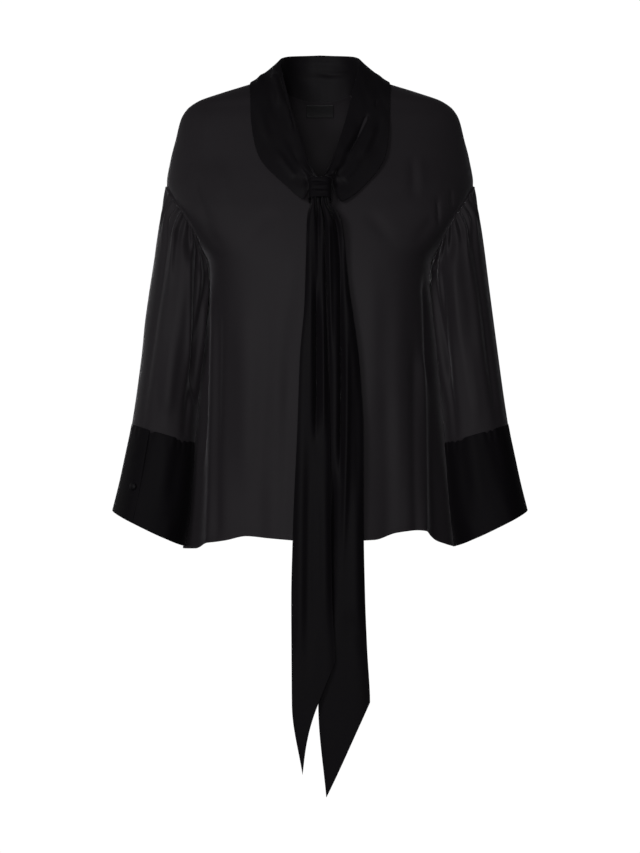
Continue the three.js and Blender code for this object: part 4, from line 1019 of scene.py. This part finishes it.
# Tie tails: the collar's two long ends, of doubled crepe, folded small in the keeper and opening out below
# it. Each end is cut on a slant, and the tails hang free in front of the blouse past its hem.
TAIL_ROWS, TAIL_COLUMNS = 230, 72
TAIL_CROWDING = 1.1
TAIL_FOLDS = 3  # how often a tail is folded to and fro where it leaves the keeper
# The flat size and area of each, its slanted end, and how far its two long edges turn back below the keeper,
# over what share of the width.
TAILS = {
    "right": {"flat": (0.07, 0.85), "area": 0.05, "start": -848, "tip": -1008, "curve": -4},
    "left": {"flat": (0.08, 0.88), "area": 0.058, "start": -906, "tip": -1042, "curve": 8},
}
TAILS["right"]["edges"], TAILS["left"]["edges"] = ((3, 0.08), (5, 0.1)), ((5, 0.1), (9, 0.13))
TAILS["right"]["rows"] = table(
    "z left right y pleat",
    (-162, -12.2, -1.4, -121.5, 7.8),
    (-170, -12.2, -1.4, -124.5, 7),
    (-190, -13.5, -0.5, -132.5, 6.5),
    (-205, -17.5, 3, -138, 4.6),
    (-220, -19, 5, -143.5, 2.8),
    (-245, -19.5, 6, -150, 1.5),
    (-334, -22, 8.5, -161, 0.6),
    (-412, -28.5, 11, -163, 0.3),
    (-521, -32.5, 14, -165, 0.3),
    (-660, -38.5, 16, -167, 0.3),
    (-760, -41, 17.5, -168, 0.3),
    (-850, -40.5, 21.5, -169, 0.2),
    (-909, -40, 21.5, -169, 0.2),
    (-1008, -24.8, 21.5, -167, 0.1),
)
TAILS["right"]["creases"] = creases(
    (-6, -285, -6.5, -545, 1, 4.2, -9, 0.3, 0.25, 1.7),
    (4, -320, 5.5, -540, 0.6, 3.2, 4, 0.3, 0.35, 1.7),
    (-14, -225, -15, -470, 1.5, 4, 2, 0.3, 0.5, 1.8),
    (-19.5, -228, -20.5, -262, 0, 1.5, 2, 0.3, 0.4, 1.6),
    (-26, -470, -30, -860, 2, 7, 2.2, 0.3, 0.3),
    (-14, -520, -16, -900, -2, 8, -3, 0.3),
    (4, -560, 6, -820, 2, 7, 2.2, 0.3),
    (-40, -520, -40, -860, 0, 6, -3.2, 0.3, 0.2),
)
TAILS["left"]["rows"] = table(
    "z left right y pleat",
    (-162, 1.4, 12.2, -121.5, 7.8),
    (-170, 1.4, 12.2, -124.5, 7),
    (-190, 0.8, 14.2, -133, 6.5),
    (-205, 3.5, 24.5, -139, 4.8),
    (-220, 6, 31, -145, 3),
    (-245, 8, 34.5, -152, 1.6),
    (-311, 10, 41, -160, 0.6),
    (-358, 12, 48, -161, 0.3),
    (-431, 13.5, 57, -162, 0.3),
    (-521, 13, 62, -162, 0.3),
    (-660, 12, 62.5, -162, 0.3),
    (-760, 8, 64.5, -162, 0.2),
    (-832, 2, 67.5, -161, 0.2),
    (-909, -2.5, 71.5, -160, 0.1),
    (-1042, 9, 71.5, -158, 0.1),
)
TAILS["left"]["creases"] = creases(
    (13, -205, 17.5, -440, -1, 3.2, 4.6, 0.15, 0.4, 1.7),
    (25, -205, 31, -330, 1, 7, -6.5, 0.2, 0.4, 1.8),
    (28, -270, 28, -600, 1.6, 4, -8.5, 0.25, 0.25, 1.7),
    (38, -330, 31, -740, 3, 4.5, 5.4, 0.3, 0.4, 1.8),
    (20, -540, 14, -850, -1, 6, -9, 0.3, 0.4, 1.8),
    (50, -420, 52, -640, 2, 6, -2.4, 0.3),
    (34, -770, 66, -856, 4, 11, -2.4, 0.4, 0.5),
    (46, -560, 50, -900, 2, 9, 2.2),
)
OPEN_BELOW = {"pleats": (180, 215), "creases": (198, 235), "curl": (215, 300), "less_curl": (700, 900)}
PLEAT_POWER = 1.2  # makes the pleats broad in front and narrow behind, below the keeper
CURL_POWER, CURL_LOSS = 1.5, 0.5


def tail(form):
    """A tail's points, in level rows from inside the keeper down to its slanted end."""
    rows = form["rows"]
    top = rows["z"][0]
    v = np.linspace(0, 1, TAIL_COLUMNS + 1)[None]
    level = np.linspace(0, 1, TAIL_ROWS + 1)[:, None] ** TAIL_CROWDING
    lowest = form["tip"] + (form["start"] - form["tip"]) * v - form["curve"] * np.sin(math.pi * v)
    z = top + (lowest - top) * level
    left, right, middle, pleat = (smooth(rows, "z", name)(z) for name in ("left", "right", "y", "pleat"))
    swing = 0.5 + 0.5 * np.cos(v * TAIL_FOLDS * math.pi)
    below = {name: ramp(-z, *ends) for name, ends in OPEN_BELOW.items()}
    swing = 2 * swing ** (1 + PLEAT_POWER * below["pleats"]) - 1
    turned = zip((v, 1 - v), form["edges"])
    curl = sum(back * np.exp(-((gap / reach) ** CURL_POWER)) for gap, (back, reach) in turned)
    curl = curl * below["curl"] * (1 - CURL_LOSS * below["less_curl"])
    points = np.stack([left + (right - left) * v, middle + pleat * swing + curl, z], -1)
    points[..., 1] -= creased(points[..., [0, 2]], form["creases"]) * below["creases"]
    return points


# The collar's doubled crepe made a little darker for the tails: painted shade.
shade_painted_tail_crepe = crepe("shade_painted_tail_crepe", (0.0038, 0.0031, 0.0042), sheen=0.04, roughness=0.66, relief=0.3, gloss=0.09)
for name, form in TAILS.items():
    piece = cloth(
        "tie_" + name + "_cloth", tail(form), shade_painted_tail_crepe, DOUBLED_WALL,
        inside_out=True, edge_round=DOUBLED_ROUND,
    )
    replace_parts(piece, "tie_" + name)

# Keeper: a short flattened loop of doubled crepe that holds both ends of the collar at the point of the V.
# The ends fill it, and pull soft creases across it.
KEEPER = {"width": 32.2, "depth": 25.2, "height": 32, "lean": 20, "y": -125.5, "z": -172, "round": 3.6}
KEEPER_ROUND = 0.3
KEEPER_COLUMNS, KEEPER_ROWS = 96, 40
KEEPER_CREASES = creases(
    (-15, 9, 12, 7, 1.5, 1.6, -1, 0.2, 0.4, 1.8), (-10, 2, 15, 3.5, -1.5, 1.8, 0.9, 0.4, 0.2, 1.8),
    (-15, -3, 9, -5, 1, 1.7, -0.9, 0.2, 0.4, 1.8), (-8, -9, 15, -8, 1, 1.8, 0.8, 0.4, 0.2, 1.8),
)


def keeper_points():
    """The loop's points, in closed rows from its top edge down. It leans with the chest."""
    c, s = squarish(np.linspace(0, 2 * math.pi, KEEPER_COLUMNS + 1), KEEPER["round"])
    height = np.linspace(0.5, -0.5, KEEPER_ROWS + 1)[:, None] * KEEPER["height"]
    x, y, height = np.broadcast_arrays(KEEPER["width"] / 2 * c, -KEEPER["depth"] / 2 * s, height)
    y = y - creased(np.stack([x, height], -1), KEEPER_CREASES) * (s > 0)
    c, s = math.cos(math.radians(KEEPER["lean"])), math.sin(math.radians(KEEPER["lean"]))
    return np.stack([x, KEEPER["y"] + y * c + height * s, KEEPER["z"] - y * s + height * c], -1)


# The keeper takes the cuffs' darkened crepe: painted shade.
keeper = cloth(
    "keeper_cloth", keeper_points(), shade_painted_crepe, DOUBLED_WALL,
    closed=True, edge_round=KEEPER_ROUND,
)
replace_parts(keeper, "tie_keeper")

# Neck label: a bare woven satin label, sewn to the inside of the back just under the neck seam.
LABEL = {"width": 42, "height": 18, "top": -21, "gap": 1.1, "wall": 0.5}
label_x = np.linspace(LABEL["width"] / 2, -LABEL["width"] / 2, 43)[None]
label_z = np.linspace(LABEL["top"], LABEL["top"] - LABEL["height"], 19)[:, None]
label_points = on_body("back", label_x + 0 * label_z, label_z + 0 * label_x) - np.array([0, LABEL["gap"], 0])

RIB, RIB_TONE = {"Scale": 700, "Distortion": 0.8}, {"To Min": 0.75, "To Max": 1.2}
RIB_RELIEF, RIB_HEIGHT = 0.3, 0.0002


def satin(name, colour):
    """Woven satin: fine raised threads across, and a smooth low gloss."""
    material = bpy.data.materials.new(name)
    material.use_nodes = True
    nodes, links = material.node_tree.nodes, material.node_tree.links
    place = nodes.new("ShaderNodeTexCoord")
    weave = set_values(nodes.new("ShaderNodeTexWave"), RIB)
    weave.bands_direction = "Y"
    links.new(place.outputs["UV"], weave.inputs["Vector"])
    tone = set_values(nodes.new("ShaderNodeMapRange"), RIB_TONE)
    links.new(weave.outputs["Fac"], tone.inputs["Value"])
    tinted(material, colour, tone.outputs["Result"], weave.outputs["Fac"], RIB_RELIEF, RIB_HEIGHT)
    set_values(nodes["Principled BSDF"], {"Roughness": 0.45, "Specular IOR Level": 0.22})
    return material


label = cloth(
    "label_cloth", label_points, satin("label_satin", (0.01, 0.0095, 0.0105)), LABEL["wall"],
    inside_out=True,
)
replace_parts(label, "neck_label")

# Stitching: black thread along the turned-up hem, 6 mm above its edge, and down both short ends of the label.
# Every stitch is a short bar of thread that lies on the cloth, half sunk into it.
STITCH = {"pitch": 2.8, "length": 2.1, "thick": 0.32}
HEM_TURN = 6
ON_PANEL, ON_LABEL = 0.02, 0.05  # how far outside the cloth's face the middle of the thread lies
thread = satin("black_thread", (0.014, 0.012, 0.015))


def stitching_tree():
    """Bars of thread along every curve of the object that carries the modifier."""
    tree = bpy.data.node_groups.new("stitching", "GeometryNodeTree")
    face = tree.interface
    face.new_socket("Geometry", in_out="INPUT", socket_type="NodeSocketGeometry")
    sockets = {}
    for key, words in (("pitch", "Pitch"), ("length", "Stitch length"), ("thick", "Thread thickness")):
        sockets[key] = face.new_socket(words, in_out="INPUT", socket_type="NodeSocketFloat")
    sockets["thread"] = face.new_socket("Thread", in_out="INPUT", socket_type="NodeSocketMaterial")
    face.new_socket("Geometry", in_out="OUTPUT", socket_type="NodeSocketGeometry")
    new, link = tree.nodes.new, tree.links.new
    given, result = new("NodeGroupInput"), new("NodeGroupOutput")
    spaced = new("GeometryNodeResampleCurve")
    spaced.mode = "LENGTH"
    link(given.outputs["Geometry"], spaced.inputs["Curve"])
    link(given.outputs["Pitch"], spaced.inputs["Length"])
    tangent = new("GeometryNodeInputTangent")
    along = new("FunctionNodeAlignRotationToVector")
    along.axis = "Z"
    link(tangent.outputs[0], along.inputs["Vector"])
    bar = new("GeometryNodeMeshCylinder")
    bar.inputs["Vertices"].default_value = 6
    bar.fill_type = "TRIANGLE_FAN"
    half = new("ShaderNodeMath")
    half.operation = "MULTIPLY"
    half.inputs[1].default_value = 0.5
    link(given.outputs["Thread thickness"], half.inputs[0])
    link(half.outputs[0], bar.inputs["Radius"])
    link(given.outputs["Stitch length"], bar.inputs["Depth"])
    bars = new("GeometryNodeInstanceOnPoints")
    link(spaced.outputs["Curve"], bars.inputs["Points"])
    link(bar.outputs["Mesh"], bars.inputs["Instance"])
    link(along.outputs["Rotation"], bars.inputs["Rotation"])
    real = new("GeometryNodeRealizeInstances")
    link(bars.outputs["Instances"], real.inputs[0])
    painted = new("GeometryNodeSetMaterial")
    link(real.outputs[0], painted.inputs["Geometry"])
    link(given.outputs["Thread"], painted.inputs["Material"])
    link(painted.outputs["Geometry"], result.inputs[0])
    return tree, sockets


stitch_tree, stitch_inputs = stitching_tree()


def stitch(name, paths):
    """Rows of stitches along paths of points."""
    curve = bpy.data.curves.new(name, "CURVE")
    curve.dimensions = "3D"
    for path in paths:
        line = curve.splines.new("POLY")
        line.points.add(len(path) - 1)
        line.points.foreach_set("co", np.c_[path * MM, np.ones(len(path))].ravel())
    holder = bpy.data.objects.new(name + "_path", curve)
    scene.collection.objects.link(holder)
    sewing = holder.modifiers.new("sewing", "NODES")
    sewing.node_group = stitch_tree
    for key in ("pitch", "length", "thick"):
        sewing[stitch_inputs[key].identifier] = STITCH[key] * MM
    sewing[stitch_inputs["thread"].identifier] = thread
    bpy.context.view_layer.update()
    made = holder.evaluated_get(bpy.context.evaluated_depsgraph_get())
    mesh = bpy.data.meshes.new_from_object(made)
    bpy.data.objects.remove(holder)
    add_piece(name, mesh)


def hem_line(side):
    """The line on the outside of a panel that runs along its hem, at the height of the stitching."""
    points = PANELS[side]
    out = directions(points) * (1 if side == "front" else -1)
    length = np.linalg.norm(np.diff(points, axis=0), axis=-1)[::-1]
    from_hem = np.concatenate([np.zeros((1, length.shape[1])), np.cumsum(length, axis=0)])
    face = (points + out * (CREPE_WALL / 2 + ON_PANEL))[::-1]
    columns = range(2, points.shape[1] - 2)
    return np.array([[np.interp(HEM_TURN, from_hem[:, k], c) for c in face[:, k].T] for k in columns])


stitch("hem_stitching", [hem_line("front"), hem_line("back")])
label_face = label_points - np.array([0, LABEL["wall"] / 2 + ON_LABEL, 0])
stitch("label_stitching", [label_face[1:-1, 1], label_face[1:-1, -2]])
